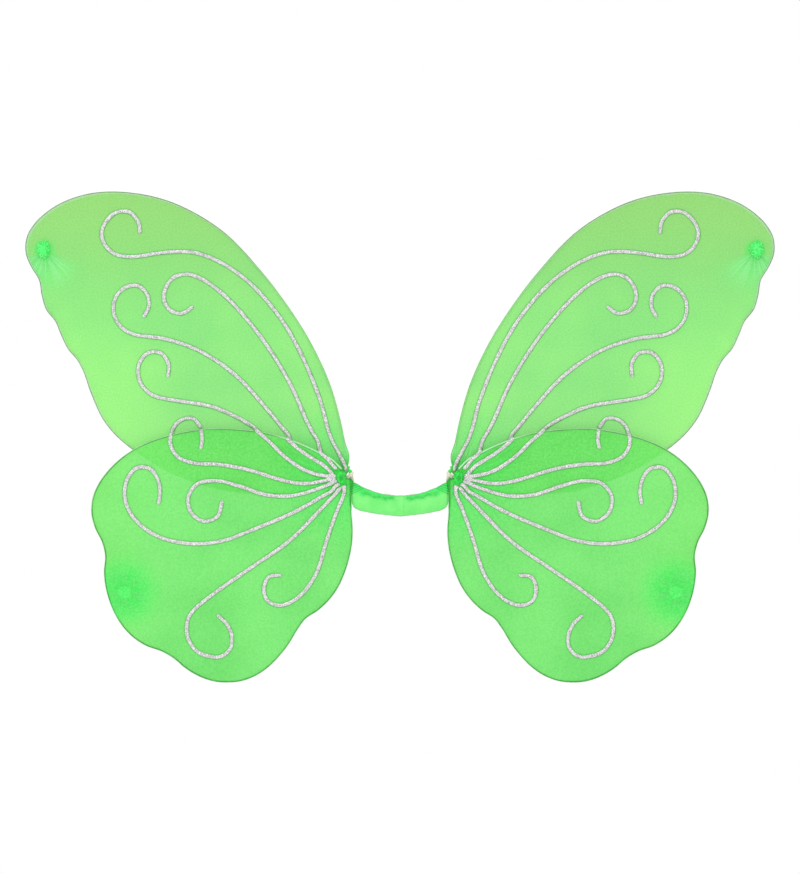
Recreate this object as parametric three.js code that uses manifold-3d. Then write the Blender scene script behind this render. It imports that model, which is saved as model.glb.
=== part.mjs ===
// Fairy wings: four wire loops covered with stretched nylon, hung on a padded band.
//
// Millimetres, +Z up. The origin is the middle of the band's rear face, which lies on
// the wearer's back. +X is to the right of someone who looks at the decorated front,
// and +Y points to the wearer, so the decorated front faces -Y.
//
// Everything in a wing is drawn as [u, z], where u is the distance from the middle.
// The left side takes x = -u and the right side takes x = u.

import * as THREE from 'three';
import { mergeVertices } from 'three/addons/utils/BufferGeometryUtils.js';
import Module from 'manifold-3d';

const wasm = await Module();
wasm.setup();

// ---- Driving dimensions, in millimetres ------------------------------------------

const GAP = 0.3; // clearance that touching pieces keep

const SPAN = 699; // across both upper wings
const HEIGHT = 457; // from the foot of the lower wings to the top of the upper wings

const WIRE_D = 2; // steel wire of the loops and of the band
const NYLON_T = 1.8; // over both layers of a stocking, with the air between them
const ELASTIC_D = 1.9; // round elastic of the arm loops
const THREAD_T = 1; // thread that binds the gathered nylon

const BEAD_W = 3.7; // line of glitter glue
const BEAD_H = 0.9;
const BLOB_R = 4.6; // where four lines run together

const BAND_LENGTH = 79; // between the clear ends of the padded band
const BAND_HEIGHT = 20;
const BAND_DEPTH = 14;
const BAND_SAG = 8.5; // how far its middle hangs below its ends
const SLEEVE_T = 0.8; // cloth of the band
const BACK_FLAT = 10; // height of the flat that lies on the wearer's back

const HINGE_CLEAR = 7; // from the band's end to its wire's upright end, the wings' hinge
const STUB_FOOT = 17;
const STUB_TOP = 33;
const WRAP_Z = 28.5; // middle of the elastic that is wound on the upright end
const RING_Z = 23.5; // middle of the lashing's ring on the upright end
const RING_H = 3;
const RING_T = 1.3;

const ROOT_REACH = 8; // from the hinge to the pivot on which a side's two wings swing
const ROOT_Z = 26.3;
const PIVOT_R = 1.2;
const PIVOT_HEAD_R = 2.4;
const PIVOT_HEAD_H = 0.8;
const BOSS_R = 4;
const KNOT_R = 5.5; // gathered nylon round the pivot
const KNOT_T = 2.4;

const CLOTH_EDGE = 0.6; // rounding of a trimmed end of nylon
const NECK_R = 3; // where the thread is wound on a gathered end
const FLARE_R = 5; // trimmed cloth beyond the thread
const FLARE_T = 1.8;
const TUFT_NECK_R = 2;
const TUFT_R = 6;
const TUFT_T = 3;

const HANK_U = 25; // middle of the put-away arm loop, behind the band
const HANK_Z = 5;
const HANK_RUN = 26; // straight run between its round ends
const HANK_BEND_R = 5; // to the middle of the elastic
const HANK_TURNS = 5;
const HANK_CLEAR = 1.5; // from the wearer's side of the band to the tie
const TURN_GAP = 0.2; // between the turns of wound elastic
const TIE_T = 0.8;
const TIE_W = 3;

// ---- Sizes that follow from them ---------------------------------------------------

const HINGE_U = BAND_LENGTH / 2 + HINGE_CLEAR;
const ROOT_U = HINGE_U + ROOT_REACH;
const WIRE_R = WIRE_D / 2;
const ELASTIC_R = ELASTIC_D / 2;
const HINGE_Y = -BAND_DEPTH / 2;
const WRAP_R = WIRE_R + GAP + ELASTIC_D;
const LAYER = WRAP_R + GAP + WIRE_R; // a wing passes clear of the wound elastic
const UPPER_Y = HINGE_Y + LAYER;
const LOWER_Y = HINGE_Y - LAYER;
const WIRE_INSET = WIRE_R + GAP;
const BEAD_LIFT = WIRE_R + GAP; // underside of the glue, from the middle of a wing
const HANK_R = HANK_BEND_R + ELASTIC_R;
const HANK_DEPTH = HANK_TURNS * (ELASTIC_D + TURN_GAP) + ELASTIC_D;
const HANK_FRONT = HANK_CLEAR + TIE_T;
const NECK_L = THREAD_T + 2 * GAP;
const END_T = NECK_L + FLARE_T; // neck and trimmed cloth beyond a gathered knot

// ---- Outlines of the wings as drawn ------------------------------------------------

const DRAWN_SPAN = 699;
const DRAWN_HEIGHT = 457;
const DRAWN_ROOT = [54.5, 26.3];

// From the root up the inner edge, round the tip and back along the lower edge.
const UPPER_WIRE = [
  [50.5, 33], [46.9, 38], [51.4, 56], [57, 82], [66.3, 113.6], [83, 150], [103, 182.4],
  [131.2, 219.5], [168, 257], [217, 283.6], [265, 292], [298, 288.2], [325.3, 275.8],
  [344, 257], [348.5, 242], [345, 226.5], [337, 215], [334.6, 206], [332.3, 193],
  [327, 179.5], [318.6, 170], [316, 162], [310.5, 149.5], [303.5, 140], [296.4, 132],
  [293, 122], [287.6, 106.5], [276, 81], [260, 62.3], [238, 46], [210, 30], [190, 22.5],
  [165, 15.5], [120, 11.5], [82, 15.5], [63, 22],
];

// From the root along the top, round the outside and back up the inner edge.
const LOWER_WIRE = [
  [54.6, 34.4], [58, 39.5], [70.5, 46.7], [98, 59.4], [126.6, 67.3], [152.7, 70.4],
  [182, 70.6], [222.5, 62.4], [249, 50.7], [269.6, 33.5], [283, 13], [286, -4.6],
  [282, -21.5], [274.6, -36.5], [273, -44], [274.2, -56], [272.8, -74.4], [265.2, -98],
  [250.8, -118.4], [233, -130.2], [222.5, -133.6], [212.5, -138.8], [195.5, -152.3],
  [177, -161], [158.3, -163], [139.9, -159.4], [121.3, -147.6], [103.2, -126.4],
  [93, -109.5], [85.5, -101.6], [75, -95], [61, -79.6], [51, -58.5], [45.8, -37],
  [44.8, -25], [45.6, -12], [46.6, 3], [47.2, 12], [49.2, 19.4],
];

// Lines of glitter glue on the upper wing, from the tip of each curl to the root.
const UPPER_LINES = {
  1: [
    [242.2, 254], [244.6, 266], [256.4, 275.4], [268.6, 271], [277.6, 258], [276.6, 246],
    [265.6, 234.8], [251, 232.3], [222.5, 236], [206, 237.1], [190, 235.8], [167.6, 227.2],
    [139.7, 207.6], [111.7, 175.4], [93.1, 143.4], [74.5, 98.7], [65.2, 65.2], [57.7, 50.3],
    [52, 38.6],
  ],
  2: [
    [192.7, 186.2], [206.7, 178.8], [218.2, 187], [219.8, 200], [210, 213.6], [197.4, 216],
    [186.2, 212.3], [163.9, 196.4], [130.3, 158.3], [102.4, 113.6], [85.7, 76.3], [76.2, 59],
  ],
  3: [
    [239.4, 175.5], [234, 188], [238.5, 201.5], [250, 206], [263.5, 197], [267.4, 184],
    [261.8, 168.5], [248, 160], [222.5, 156.4], [190, 146], [154.5, 122.9], [121, 86.6],
    [103.5, 64.8],
  ],
  4: [
    [216.6, 120.1], [215.8, 132], [222.4, 142], [233.5, 143.2], [243, 133], [243.4, 118.6],
    [234.9, 105.7], [224.2, 101.2], [206.2, 97.9], [174.1, 92.2], [149, 81], [136.5, 73.4],
  ],
  5: [[184.9, 72.2], [189.6, 79.6], [197.8, 82.2], [206.7, 78.2], [212.4, 69.4]],
};

// Lines on the lower wing. The fan is the four that run together at the root.
const LOWER_LINES = {
  2: [[73.4, 49.4], [67.5, 44], [61.6, 36.8]],
  6: [[185.3, 53.1], [183.8, 62], [184.4, 69]],
  8: [
    [224.6, 1.5], [223, 15], [228, 30.4], [238.4, 37.2], [248.6, 32.4], [255, 20],
    [255.2, 5], [246.2, -12.4], [225.5, -27.8], [196.2, -34.7], [166.9, -32.6],
    [132.4, -20.1], [96.5, -4.6], [62.6, 14.9],
  ],
  9: [
    [169.8, -101.1], [160, -111], [156, -124.4], [161, -137.4], [174.1, -139.9],
    [190.4, -133.4], [198, -118], [195.4, -101.4], [180, -86.6], [139.7, -58],
    [104, -33.2], [77.6, -7.2], [59.4, 12],
  ],
  10: [
    [110.3, -64.1], [120.4, -64.6], [126.4, -76], [121.6, -89.4], [108, -91.8],
    [91, -81.4], [77.4, -61.4], [68, -31.3], [59.6, -7.2], [52.6, 10],
  ],
};
const FAN_LINES = [
  [[100.4, 60.2], [89.4, 50.3], [76.3, 41], [67, 28.6]],
  [[133, 69.6], [121, 60.5], [98.7, 40], [84, 30.6], [70, 26.4]],
  [
    [212.6, 65.6], [213.2, 57], [206, 45.6], [195.5, 41], [167.6, 38.7], [139.7, 33.5],
    [111.7, 25.1], [90, 22], [70, 24.6],
  ],
  [
    [165.2, 4.9], [170, -10], [182, -14], [194, -6], [196.8, 8], [188, 20.8], [172, 23.6],
    [149.6, 18.7], [125.9, 10.4], [100, 10], [82, 15.6], [70, 22],
  ],
];
const BLOB = [69, 25.4];

const UPPER_TUFT = [331.4, 238];
const LOWER_TUFT = [256, -80];

// ---- Routes of an arm loop's two ends, as [u, y, z] ----------------------------------

const LEAD_OUT = [
  [46.1, -3.4, 27.3], [45.8, -1, 27.2], [44.8, 1.6, 25.4], [43.6, 3, 21], [41.4, 3.2, 16.6],
  [38.8, 3.3, 14], [37.2, 3.3, 11.9],
];
const LEAD_BACK = [
  [46.3, -3.4, 29.8], [46, 0, 29.9], [45, 4.2, 28], [43.9, 8.4, 23], [43.3, 11.2, 17.5],
  [43.1, 12.3, 13], [43.1, 12.5, 9.8],
];

// ---- Materials ------------------------------------------------------------------------

const paint = (color, roughness, metalness = 0) =>
  new THREE.MeshStandardMaterial({ color, roughness, metalness });

const NYLON = paint(0x7fe87a, 0.55);
const GATHERED = paint(0x22d455, 0.6);
const BAND_CLOTH = paint(0x86f382, 0.6);
const PADDING = paint(0xf2f2ec, 0.95);
const STEEL = paint(0x4c5a52, 0.4, 0.9);
const GLITTER = paint(0xd6d2d8, 0.35, 0.3);
const THREAD = paint(0x1f9c3c, 0.7);
const ELASTIC = paint(0xe9e6d6, 0.8);
const TIE = paint(0xf4f4f0, 0.7);

// ---- Curves ---------------------------------------------------------------------------

// A wing grows away from its root, and the root keeps its own size.
const NEAR_ROOT = 14;
const GROWN_BY = 60;

function grown([drawnU, drawnZ]) {
  const u = drawnU - DRAWN_ROOT[0];
  const z = drawnZ - DRAWN_ROOT[1];
  const across = (SPAN / 2 - ROOT_U) / (DRAWN_SPAN / 2 - DRAWN_ROOT[0]);
  const up = HEIGHT / DRAWN_HEIGHT;
  const share = THREE.MathUtils.smoothstep(Math.hypot(u, z), NEAR_ROOT, NEAR_ROOT + GROWN_BY);
  const outward = u > 0 ? across : 1;
  return [
    ROOT_U + u * (1 + (outward - 1) * share),
    ROOT_Z + z * (1 + (up - 1) * share),
  ];
}

function smoothCurve(places) {
  return new THREE.CatmullRomCurve3(places, false, 'centripetal');
}

function wingCurve(side, outline, y) {
  return smoothCurve(
    outline.map(grown).map(([u, z]) => new THREE.Vector3(side * u, y, z)),
  );
}

function cordCurve(side, route) {
  return smoothCurve(route.map(([u, y, z]) => new THREE.Vector3(side * u, y, z)));
}

// ---- Solids ---------------------------------------------------------------------------

const SECTION_SIDES = 8;

function circle(radius, sides = SECTION_SIDES) {
  const corners = [];
  for (let i = 0; i < sides; i += 1) {
    const turn = (2 * Math.PI * (i + 0.5)) / sides;
    corners.push(new THREE.Vector2(radius * Math.cos(turn), radius * Math.sin(turn)));
  }
  return new THREE.Shape(corners);
}

function sweep(section, path, steps) {
  return new THREE.ExtrudeGeometry(section, {
    steps,
    extrudePath: path,
    bevelEnabled: false,
    curveSegments: 5,
  });
}

// Extrudes an outline in the XZ plane between two depths.
function slab(outline, front, rear) {
  const geometry = new THREE.ExtrudeGeometry(outline, {
    depth: rear - front,
    bevelEnabled: false,
    curveSegments: 6,
  });
  geometry.rotateX(Math.PI / 2);
  geometry.translate(0, rear, 0);
  return geometry;
}

// Turns a profile of [radius, y] round the Y axis at a place in the XZ plane.
function turned(profile, x, z, segments = 12) {
  const points = profile.map(([radius, y]) => new THREE.Vector2(radius, y));
  const geometry = new THREE.LatheGeometry(points, segments);
  geometry.translate(x, 0, z);
  return geometry;
}

// The same profile from front to rear or, with facing -1, from rear to front.
function facingProfile(profile, y, facing) {
  const placed = profile.map(([radius, out]) => [radius, y + facing * out]);
  return facing > 0 ? placed : placed.reverse();
}

function ringProfile(inner, outer, low, high) {
  return [[inner, low], [outer, low], [outer, high], [inner, high], [inner, low]];
}

function solid(geometry) {
  const bare = geometry.clone();
  bare.deleteAttribute('normal');
  bare.deleteAttribute('uv');
  const merged = mergeVertices(bare, 1e-4);
  const corners = [];
  for (let i = 0; i < merged.index.count; i += 3) {
    const [a, b, c] = [0, 1, 2].map((k) => merged.index.getX(i + k));
    if (a !== b && b !== c && c !== a) {
      corners.push(a, b, c);
    }
  }
  return new wasm.Manifold(
    new wasm.Mesh({
      numProp: 3,
      vertProperties: merged.attributes.position.array,
      triVerts: new Uint32Array(corners),
    }),
  );
}

function joined(geometries) {
  return geometries.map(solid).reduce((whole, piece) => whole.add(piece));
}

function geometryOf(body) {
  const mesh = body.getMesh();
  const geometry = new THREE.BufferGeometry();
  geometry.setAttribute('position', new THREE.BufferAttribute(mesh.vertProperties, 3));
  geometry.setIndex(new THREE.BufferAttribute(mesh.triVerts, 1));
  return geometry;
}

const assembly = new THREE.Group();

function addPiece(name, geometry, material) {
  const mesh = new THREE.Mesh(geometry, material);
  mesh.name = name;
  assembly.add(mesh);
}

// ---- Wings ----------------------------------------------------------------------------

const WIRE_SIDES = 6;
const WIRE_PITCH = 14; // length of a straight step along a wire
const BEAD_PITCH = 12;

function wireSteps(path) {
  return Math.round(path.getLength() / WIRE_PITCH);
}

// The wire's middle line, moved inwards so that the nylon meets the wire.
function insideOutline(path) {
  const line = path.getSpacedPoints(wireSteps(path)).map((p) => new THREE.Vector2(p.x, p.z));
  const turn = THREE.ShapeUtils.isClockWise(line) ? -1 : 1;
  return line.map((point, i) => {
    const before = line[Math.max(i - 1, 0)];
    const after = line[Math.min(i + 1, line.length - 1)];
    const along = after.clone().sub(before).normalize();
    return new THREE.Vector2(
      point.x - turn * along.y * WIRE_INSET,
      point.y + turn * along.x * WIRE_INSET,
    );
  });
}

// Gathered nylon round the pivot, with a trimmed end bound by thread on its outer face.
function rootProfile(y, facing) {
  const face = KNOT_T / 2;
  const neckEnd = face + NECK_L;
  return facingProfile(
    [
      [0, -face], [KNOT_R, -face], [KNOT_R, face], [NECK_R, face], [NECK_R, neckEnd],
      [FLARE_R, neckEnd + CLOTH_EDGE], [FLARE_R - CLOTH_EDGE, neckEnd + FLARE_T],
      [0, neckEnd + FLARE_T],
    ],
    y,
    facing,
  );
}

function threadProfile(neckRadius, y, foot, facing) {
  const inner = neckRadius + GAP;
  return facingProfile(
    ringProfile(inner, inner + THREAD_T, foot + GAP, foot + GAP + THREAD_T),
    y,
    facing,
  );
}

function tuftProfile(y, facing) {
  const foot = NYLON_T / 2 + GAP;
  const neckEnd = foot + NECK_L;
  return facingProfile(
    [
      [0, foot], [TUFT_NECK_R, foot], [TUFT_NECK_R, neckEnd],
      [TUFT_R, neckEnd + CLOTH_EDGE], [TUFT_R - CLOTH_EDGE, neckEnd + TUFT_T - CLOTH_EDGE],
      [0, neckEnd + TUFT_T],
    ],
    y,
    facing,
  );
}

const BEAD_TOP = 0.62; // share of a bead's width that is left at its top
const BEAD_SECTION = new THREE.Shape([
  new THREE.Vector2(0, -BEAD_W / 2),
  new THREE.Vector2(BEAD_H, (-BEAD_TOP * BEAD_W) / 2),
  new THREE.Vector2(BEAD_H, (BEAD_TOP * BEAD_W) / 2),
  new THREE.Vector2(0, BEAD_W / 2),
]);

function bead(side, line, y) {
  const path = wingCurve(side, line, y - BEAD_LIFT);
  return sweep(BEAD_SECTION, path, Math.max(2, Math.round(path.getLength() / BEAD_PITCH)));
}

// The wire, the nylon on it, and both of the nylon's gathered ends.
// facing is +1 where the end at the root is trimmed towards the wearer.
function addWing(name, side, y, outline, facing, tuft, tuftFacing) {
  const path = wingCurve(side, outline, y);
  addPiece(`${name}_wire`, sweep(circle(WIRE_R, WIRE_SIDES), path, wireSteps(path)), STEEL);

  const sheet = slab(new THREE.Shape(insideOutline(path)), y - NYLON_T / 2, y + NYLON_T / 2);
  const root = turned(rootProfile(y, facing), side * ROOT_U, ROOT_Z);
  const boreR = PIVOT_R + GAP;
  const reach = KNOT_T + END_T; // past both faces of the gathered root
  const bore = turned(
    [[0, y - reach], [boreR, y - reach], [boreR, y + reach], [0, y + reach]],
    side * ROOT_U,
    ROOT_Z,
    10,
  );
  const nylon = joined([sheet, root]).subtract(solid(bore));
  addPiece(`${name}_nylon`, geometryOf(nylon), NYLON);

  const rootThread = threadProfile(NECK_R, y, KNOT_T / 2, facing);
  addPiece(`${name}_root_thread`, turned(rootThread, side * ROOT_U, ROOT_Z), THREAD);

  const [tuftU, tuftZ] = grown(tuft);
  addPiece(`${name}_tip_tuft`, turned(tuftProfile(y, tuftFacing), side * tuftU, tuftZ), GATHERED);
  const tipThread = threadProfile(TUFT_NECK_R, y, NYLON_T / 2 + GAP, tuftFacing);
  addPiece(`${name}_tip_thread`, turned(tipThread, side * tuftU, tuftZ), THREAD);
}

function addUpperWing(sideName, side) {
  const name = `${sideName}_upper`;
  addWing(name, side, UPPER_Y, UPPER_WIRE, 1, UPPER_TUFT, -1);
  for (const [number, line] of Object.entries(UPPER_LINES)) {
    addPiece(`${name}_glitter_${number}`, bead(side, line, UPPER_Y), GLITTER);
  }
}

function addLowerWing(sideName, side) {
  const name = `${sideName}_lower`;
  addWing(name, side, LOWER_Y, LOWER_WIRE, -1, LOWER_TUFT, 1);
  for (const [number, line] of Object.entries(LOWER_LINES)) {
    addPiece(`${name}_glitter_${number}`, bead(side, line, LOWER_Y), GLITTER);
  }
  const [blobU, blobZ] = grown(BLOB);
  const dome = facingProfile(
    [[0, 0], [BLOB_R, 0], [BLOB_R * 0.7, BEAD_H * 1.3], [0, BEAD_H * 1.6]],
    LOWER_Y - BEAD_LIFT,
    -1,
  );
  const fan = FAN_LINES.map((line) => bead(side, line, LOWER_Y));
  fan.push(turned(dome, side * blobU, blobZ, 10));
  addPiece(`${name}_glitter_fan`, geometryOf(joined(fan)), GLITTER);
}

// ---- Root of a side ---------------------------------------------------------------------

// Waxed thread that goes round the upright wire and through both gathered roots.
function addLashing(sideName, side) {
  const ring = turned(
    ringProfile(WIRE_R + GAP, WIRE_R + GAP + RING_T, -RING_H / 2, RING_H / 2),
    0,
    0,
  );
  ring.rotateX(Math.PI / 2);
  ring.translate(side * HINGE_U, HINGE_Y, RING_Z);

  const barStart = HINGE_U + WIRE_R + GAP + RING_T / 2;
  const bar = slab(
    new THREE.Shape([
      new THREE.Vector2(side * barStart, RING_Z - RING_H / 2),
      new THREE.Vector2(side * barStart, RING_Z + RING_H / 2),
      new THREE.Vector2(side * ROOT_U, ROOT_Z + RING_H / 2),
      new THREE.Vector2(side * ROOT_U, ROOT_Z - RING_H / 2),
    ]),
    HINGE_Y - WIRE_R,
    HINGE_Y + WIRE_R,
  );

  const bossHalf = LAYER - KNOT_T / 2 - GAP;
  const pinHalf = LAYER + KNOT_T / 2 + END_T + GAP;
  const headHalf = pinHalf + PIVOT_HEAD_H;
  const pivot = turned(
    [
      [0, HINGE_Y - headHalf], [PIVOT_HEAD_R, HINGE_Y - headHalf],
      [PIVOT_HEAD_R, HINGE_Y - pinHalf], [PIVOT_R, HINGE_Y - pinHalf],
      [PIVOT_R, HINGE_Y - bossHalf], [BOSS_R, HINGE_Y - bossHalf],
      [BOSS_R, HINGE_Y + bossHalf], [PIVOT_R, HINGE_Y + bossHalf],
      [PIVOT_R, HINGE_Y + pinHalf], [PIVOT_HEAD_R, HINGE_Y + pinHalf],
      [PIVOT_HEAD_R, HINGE_Y + headHalf], [0, HINGE_Y + headHalf],
    ],
    side * ROOT_U,
    ROOT_Z,
    10,
  );
  addPiece(`${sideName}_root_lashing`, geometryOf(joined([ring, bar, pivot])), THREAD);
}

// ---- Arm loop ---------------------------------------------------------------------------

function addArmLoop(sideName, side) {
  const inner = WIRE_R + GAP;
  const groove = ELASTIC_D / 4; // depth of the groove between the two turns
  const wound = turned(
    [
      [inner, -ELASTIC_D], [WRAP_R - groove, -ELASTIC_D], [WRAP_R, -ELASTIC_D + groove],
      [WRAP_R, -groove], [WRAP_R - groove, 0], [WRAP_R, groove],
      [WRAP_R, ELASTIC_D - groove], [WRAP_R - groove, ELASTIC_D], [inner, ELASTIC_D],
      [inner, -ELASTIC_D],
    ],
    0,
    0,
  );
  wound.rotateX(Math.PI / 2);
  wound.translate(side * HINGE_U, HINGE_Y, WRAP_Z);
  addPiece(`${sideName}_elastic_wrap`, wound, ELASTIC);

  const leads = { out: LEAD_OUT, back: LEAD_BACK };
  for (const [which, route] of Object.entries(leads)) {
    const path = cordCurve(side, route);
    const steps = Math.round(path.getLength() / (2.5 * ELASTIC_D));
    addPiece(`${sideName}_elastic_lead_${which}`, sweep(circle(ELASTIC_R), path, steps), ELASTIC);
  }

  const half = HANK_RUN / 2;
  const middle = side * HANK_U;
  const roundEnds = new THREE.Shape()
    .moveTo(middle - half, HANK_Z - HANK_R)
    .lineTo(middle + half, HANK_Z - HANK_R)
    .absarc(middle + half, HANK_Z, HANK_R, -Math.PI / 2, Math.PI / 2)
    .absarc(middle - half, HANK_Z, HANK_R, Math.PI / 2, (3 * Math.PI) / 2);
  const hank = slab(roundEnds, HANK_FRONT, HANK_FRONT + HANK_DEPTH);
  addPiece(`${sideName}_elastic_hank`, hank, ELASTIC);

  const tieRing = frameShape(
    HANK_FRONT - GAP,
    HANK_FRONT + HANK_DEPTH + GAP,
    HANK_Z - HANK_R - GAP,
    HANK_Z + HANK_R + GAP,
    TIE_T,
  );
  const tie = new THREE.ExtrudeGeometry(tieRing, { depth: TIE_W, bevelEnabled: false });
  tie.applyMatrix4(
    new THREE.Matrix4().makeBasis(
      new THREE.Vector3(0, 1, 0),
      new THREE.Vector3(0, 0, 1),
      new THREE.Vector3(1, 0, 0),
    ),
  );
  tie.translate(middle - TIE_W / 2, 0, 0);
  addPiece(`${sideName}_hank_tie`, tie, TIE);
}

// A rectangular ring round the rectangle from (left, low) to (right, high).
function frameShape(left, right, low, high, wall) {
  const shape = new THREE.Shape()
    .moveTo(left - wall, low - wall)
    .lineTo(right + wall, low - wall)
    .lineTo(right + wall, high + wall)
    .lineTo(left - wall, high + wall);
  const hole = new THREE.Path()
    .moveTo(left, low)
    .lineTo(left, high)
    .lineTo(right, high)
    .lineTo(right, low);
  shape.holes.push(hole);
  return shape;
}

// ---- Band -------------------------------------------------------------------------------

// The band's middle line: it hangs from its two ends.
function bandHeightAt(x) {
  return BAND_SAG * (x / (BAND_LENGTH / 2)) ** 2;
}

const BAND_STEPS = 12;
const BRIDGE_STEPS = 40;
const END_DEPTH = 1; // from the mouth of the sleeve to the padding

function bandPath(length) {
  const places = [];
  for (let i = -4; i <= 4; i += 1) {
    const x = (i / 8) * length;
    places.push(new THREE.Vector3(x, HINGE_Y, bandHeightAt(x)));
  }
  return smoothCurve(places);
}

// Across the band, from the rear flat over the rounded top, front and bottom. The rear
// flat stands proud here, and bandSolid cuts it to one plane.
const REAR_TRIM = 0.5;

function bandSection(inset) {
  const rear = -BAND_DEPTH / 2 + inset - REAR_TRIM;
  const front = BAND_DEPTH / 2 - inset;
  const top = BAND_HEIGHT / 2 - inset;
  const flat = BACK_FLAT / 2;
  return new THREE.Shape()
    .moveTo(rear, -flat)
    .lineTo(rear, flat)
    .quadraticCurveTo(rear, top, 0, top)
    .quadraticCurveTo(front, top, front, 0)
    .quadraticCurveTo(front, -top, 0, -top)
    .quadraticCurveTo(rear, -top, rear, -flat);
}

// The wire lies in the band's middle and turns up beyond each end.
function bridgeCurve() {
  const end = BAND_LENGTH / 2;
  const endZ = bandHeightAt(end);
  const half = [
    [HINGE_U, STUB_TOP], [HINGE_U, (STUB_TOP + STUB_FOOT) / 2], [HINGE_U, STUB_FOOT],
    [end + HINGE_CLEAR * 0.75, (STUB_FOOT + endZ) / 2 - WIRE_R / 3],
    [end + HINGE_CLEAR * 0.2, endZ + WIRE_R],
    [end * 0.72, bandHeightAt(end * 0.72)],
    [end * 0.36, bandHeightAt(end * 0.36)],
  ];
  const left = half.map(([u, z]) => new THREE.Vector3(-u, HINGE_Y, z));
  const right = half.map(([u, z]) => new THREE.Vector3(u, HINGE_Y, z)).reverse();
  return smoothCurve([...left, new THREE.Vector3(0, HINGE_Y, 0), ...right]);
}

// The band's shape, smaller all round by an inset, with its ends cut upright and its rear
// cut to the plane of the wearer's back.
function bandSolid(inset, length) {
  const swept = solid(sweep(bandSection(inset), bandPath(length + BAND_HEIGHT), BAND_STEPS));
  const depth = 2 * BAND_DEPTH;
  const between = new THREE.BoxGeometry(length, depth, 8 * BAND_HEIGHT);
  between.translate(0, -inset - depth / 2, 0);
  return swept.intersect(solid(between));
}

function addBand() {
  const bridge = bridgeCurve();
  addPiece('bridge_wire', sweep(circle(WIRE_R), bridge, BRIDGE_STEPS), STEEL);

  const outside = bandSolid(0, BAND_LENGTH);
  const inside = bandSolid(SLEEVE_T, BAND_LENGTH + 2 * END_DEPTH);
  addPiece('band_sleeve', geometryOf(outside.subtract(inside)), BAND_CLOTH);

  const core = bandSolid(SLEEVE_T + GAP, BAND_LENGTH - 2 * END_DEPTH);
  const channel = solid(sweep(circle(WIRE_R + GAP), bridge, BRIDGE_STEPS));
  addPiece('band_padding', geometryOf(core.subtract(channel)), PADDING);
}

// ---- Assembly ---------------------------------------------------------------------------

addBand();
for (const [sideName, side] of [['left', -1], ['right', 1]]) {
  addArmLoop(sideName, side);
  addLashing(sideName, side);
  addUpperWing(sideName, side);
  addLowerWing(sideName, side);
}

export default assembly;
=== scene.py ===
# %% [markdown]
# # Fairy wings
#
# A pair of costume wings: four loops of steel wire, each inside a green nylon stocking that
# is pulled tight and tied, decorated with lines of glitter glue and hung on a padded band.
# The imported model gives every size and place. It is loaded first and never moved, and each
# new piece stands where the plain solid stands that it takes the place of.

# %% Load the frame
import math

import bmesh
import bpy
import numpy as np
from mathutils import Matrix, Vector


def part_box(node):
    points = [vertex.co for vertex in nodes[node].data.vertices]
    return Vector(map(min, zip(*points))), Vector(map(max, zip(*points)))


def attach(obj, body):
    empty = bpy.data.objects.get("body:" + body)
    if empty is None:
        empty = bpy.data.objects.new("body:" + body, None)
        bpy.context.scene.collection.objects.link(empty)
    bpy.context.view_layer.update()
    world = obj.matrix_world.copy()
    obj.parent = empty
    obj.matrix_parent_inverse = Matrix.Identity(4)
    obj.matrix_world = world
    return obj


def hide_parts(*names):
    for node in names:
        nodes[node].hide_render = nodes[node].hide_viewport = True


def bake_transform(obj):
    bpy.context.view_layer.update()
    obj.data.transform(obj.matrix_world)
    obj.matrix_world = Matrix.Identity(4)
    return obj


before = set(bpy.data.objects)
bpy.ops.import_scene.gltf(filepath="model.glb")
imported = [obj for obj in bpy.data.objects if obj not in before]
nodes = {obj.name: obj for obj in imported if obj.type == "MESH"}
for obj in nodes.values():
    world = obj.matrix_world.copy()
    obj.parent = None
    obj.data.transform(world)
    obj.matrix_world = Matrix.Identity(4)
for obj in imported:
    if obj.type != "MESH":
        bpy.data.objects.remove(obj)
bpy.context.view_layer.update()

MM = 0.001
SIDES = {"left": -1, "right": 1}

# %% [markdown]
# ## Camera
# The wings hang flat and are looked at square on, from far enough away that the depth of a
# wing doesn't show. A long lens does that. The view leaves a wide white margin all round.

# %% Camera
LENS = 110
FRAME_HEIGHT = 0.8137  # height that the camera sees at the band
VIEW_Z = 0.0642
SENSOR = 36

band_low, band_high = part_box("band_sleeve")
band_y = (band_low.y + band_high.y) / 2
camera_data = bpy.data.cameras.new("camera")
camera_data.lens = LENS
camera_data.sensor_width = SENSOR
camera_data.clip_start = 0.05
camera = bpy.data.objects.new("camera", camera_data)
camera.location = (0, band_y - FRAME_HEIGHT * LENS / SENSOR, VIEW_Z)
camera.rotation_euler = (math.pi / 2, 0, 0)
bpy.context.scene.collection.objects.link(camera)
bpy.context.scene.camera = camera
print("camera at", [round(c, 3) for c in camera.location])

# %% [markdown]
# ## Helpers
# Blender's operators act on whatever is selected, so one helper clears the selection and
# picks a single piece, and another applies what is stacked on it.

# %% Helpers for pieces


def pick(piece=None):
    if bpy.context.object and bpy.context.object.mode != "OBJECT":
        bpy.ops.object.mode_set(mode="OBJECT")
    bpy.ops.object.select_all(action="DESELECT")
    if piece:
        piece.select_set(True)
        bpy.context.view_layer.objects.active = piece
    return piece


def settle(piece):
    """Applies a piece's modifiers and its place, so that its object sits at the origin."""
    pick(piece)
    for modifier in list(piece.modifiers):
        bpy.ops.object.modifier_apply(modifier=modifier.name)
    bpy.ops.object.transform_apply(location=True, rotation=True, scale=True)
    return piece


def join(name, pieces):
    pick(pieces[0])
    for piece in pieces:
        piece.select_set(True)
    bpy.ops.object.join()
    whole = bpy.context.object
    whole.name = whole.data.name = name
    return settle(whole)


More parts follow.
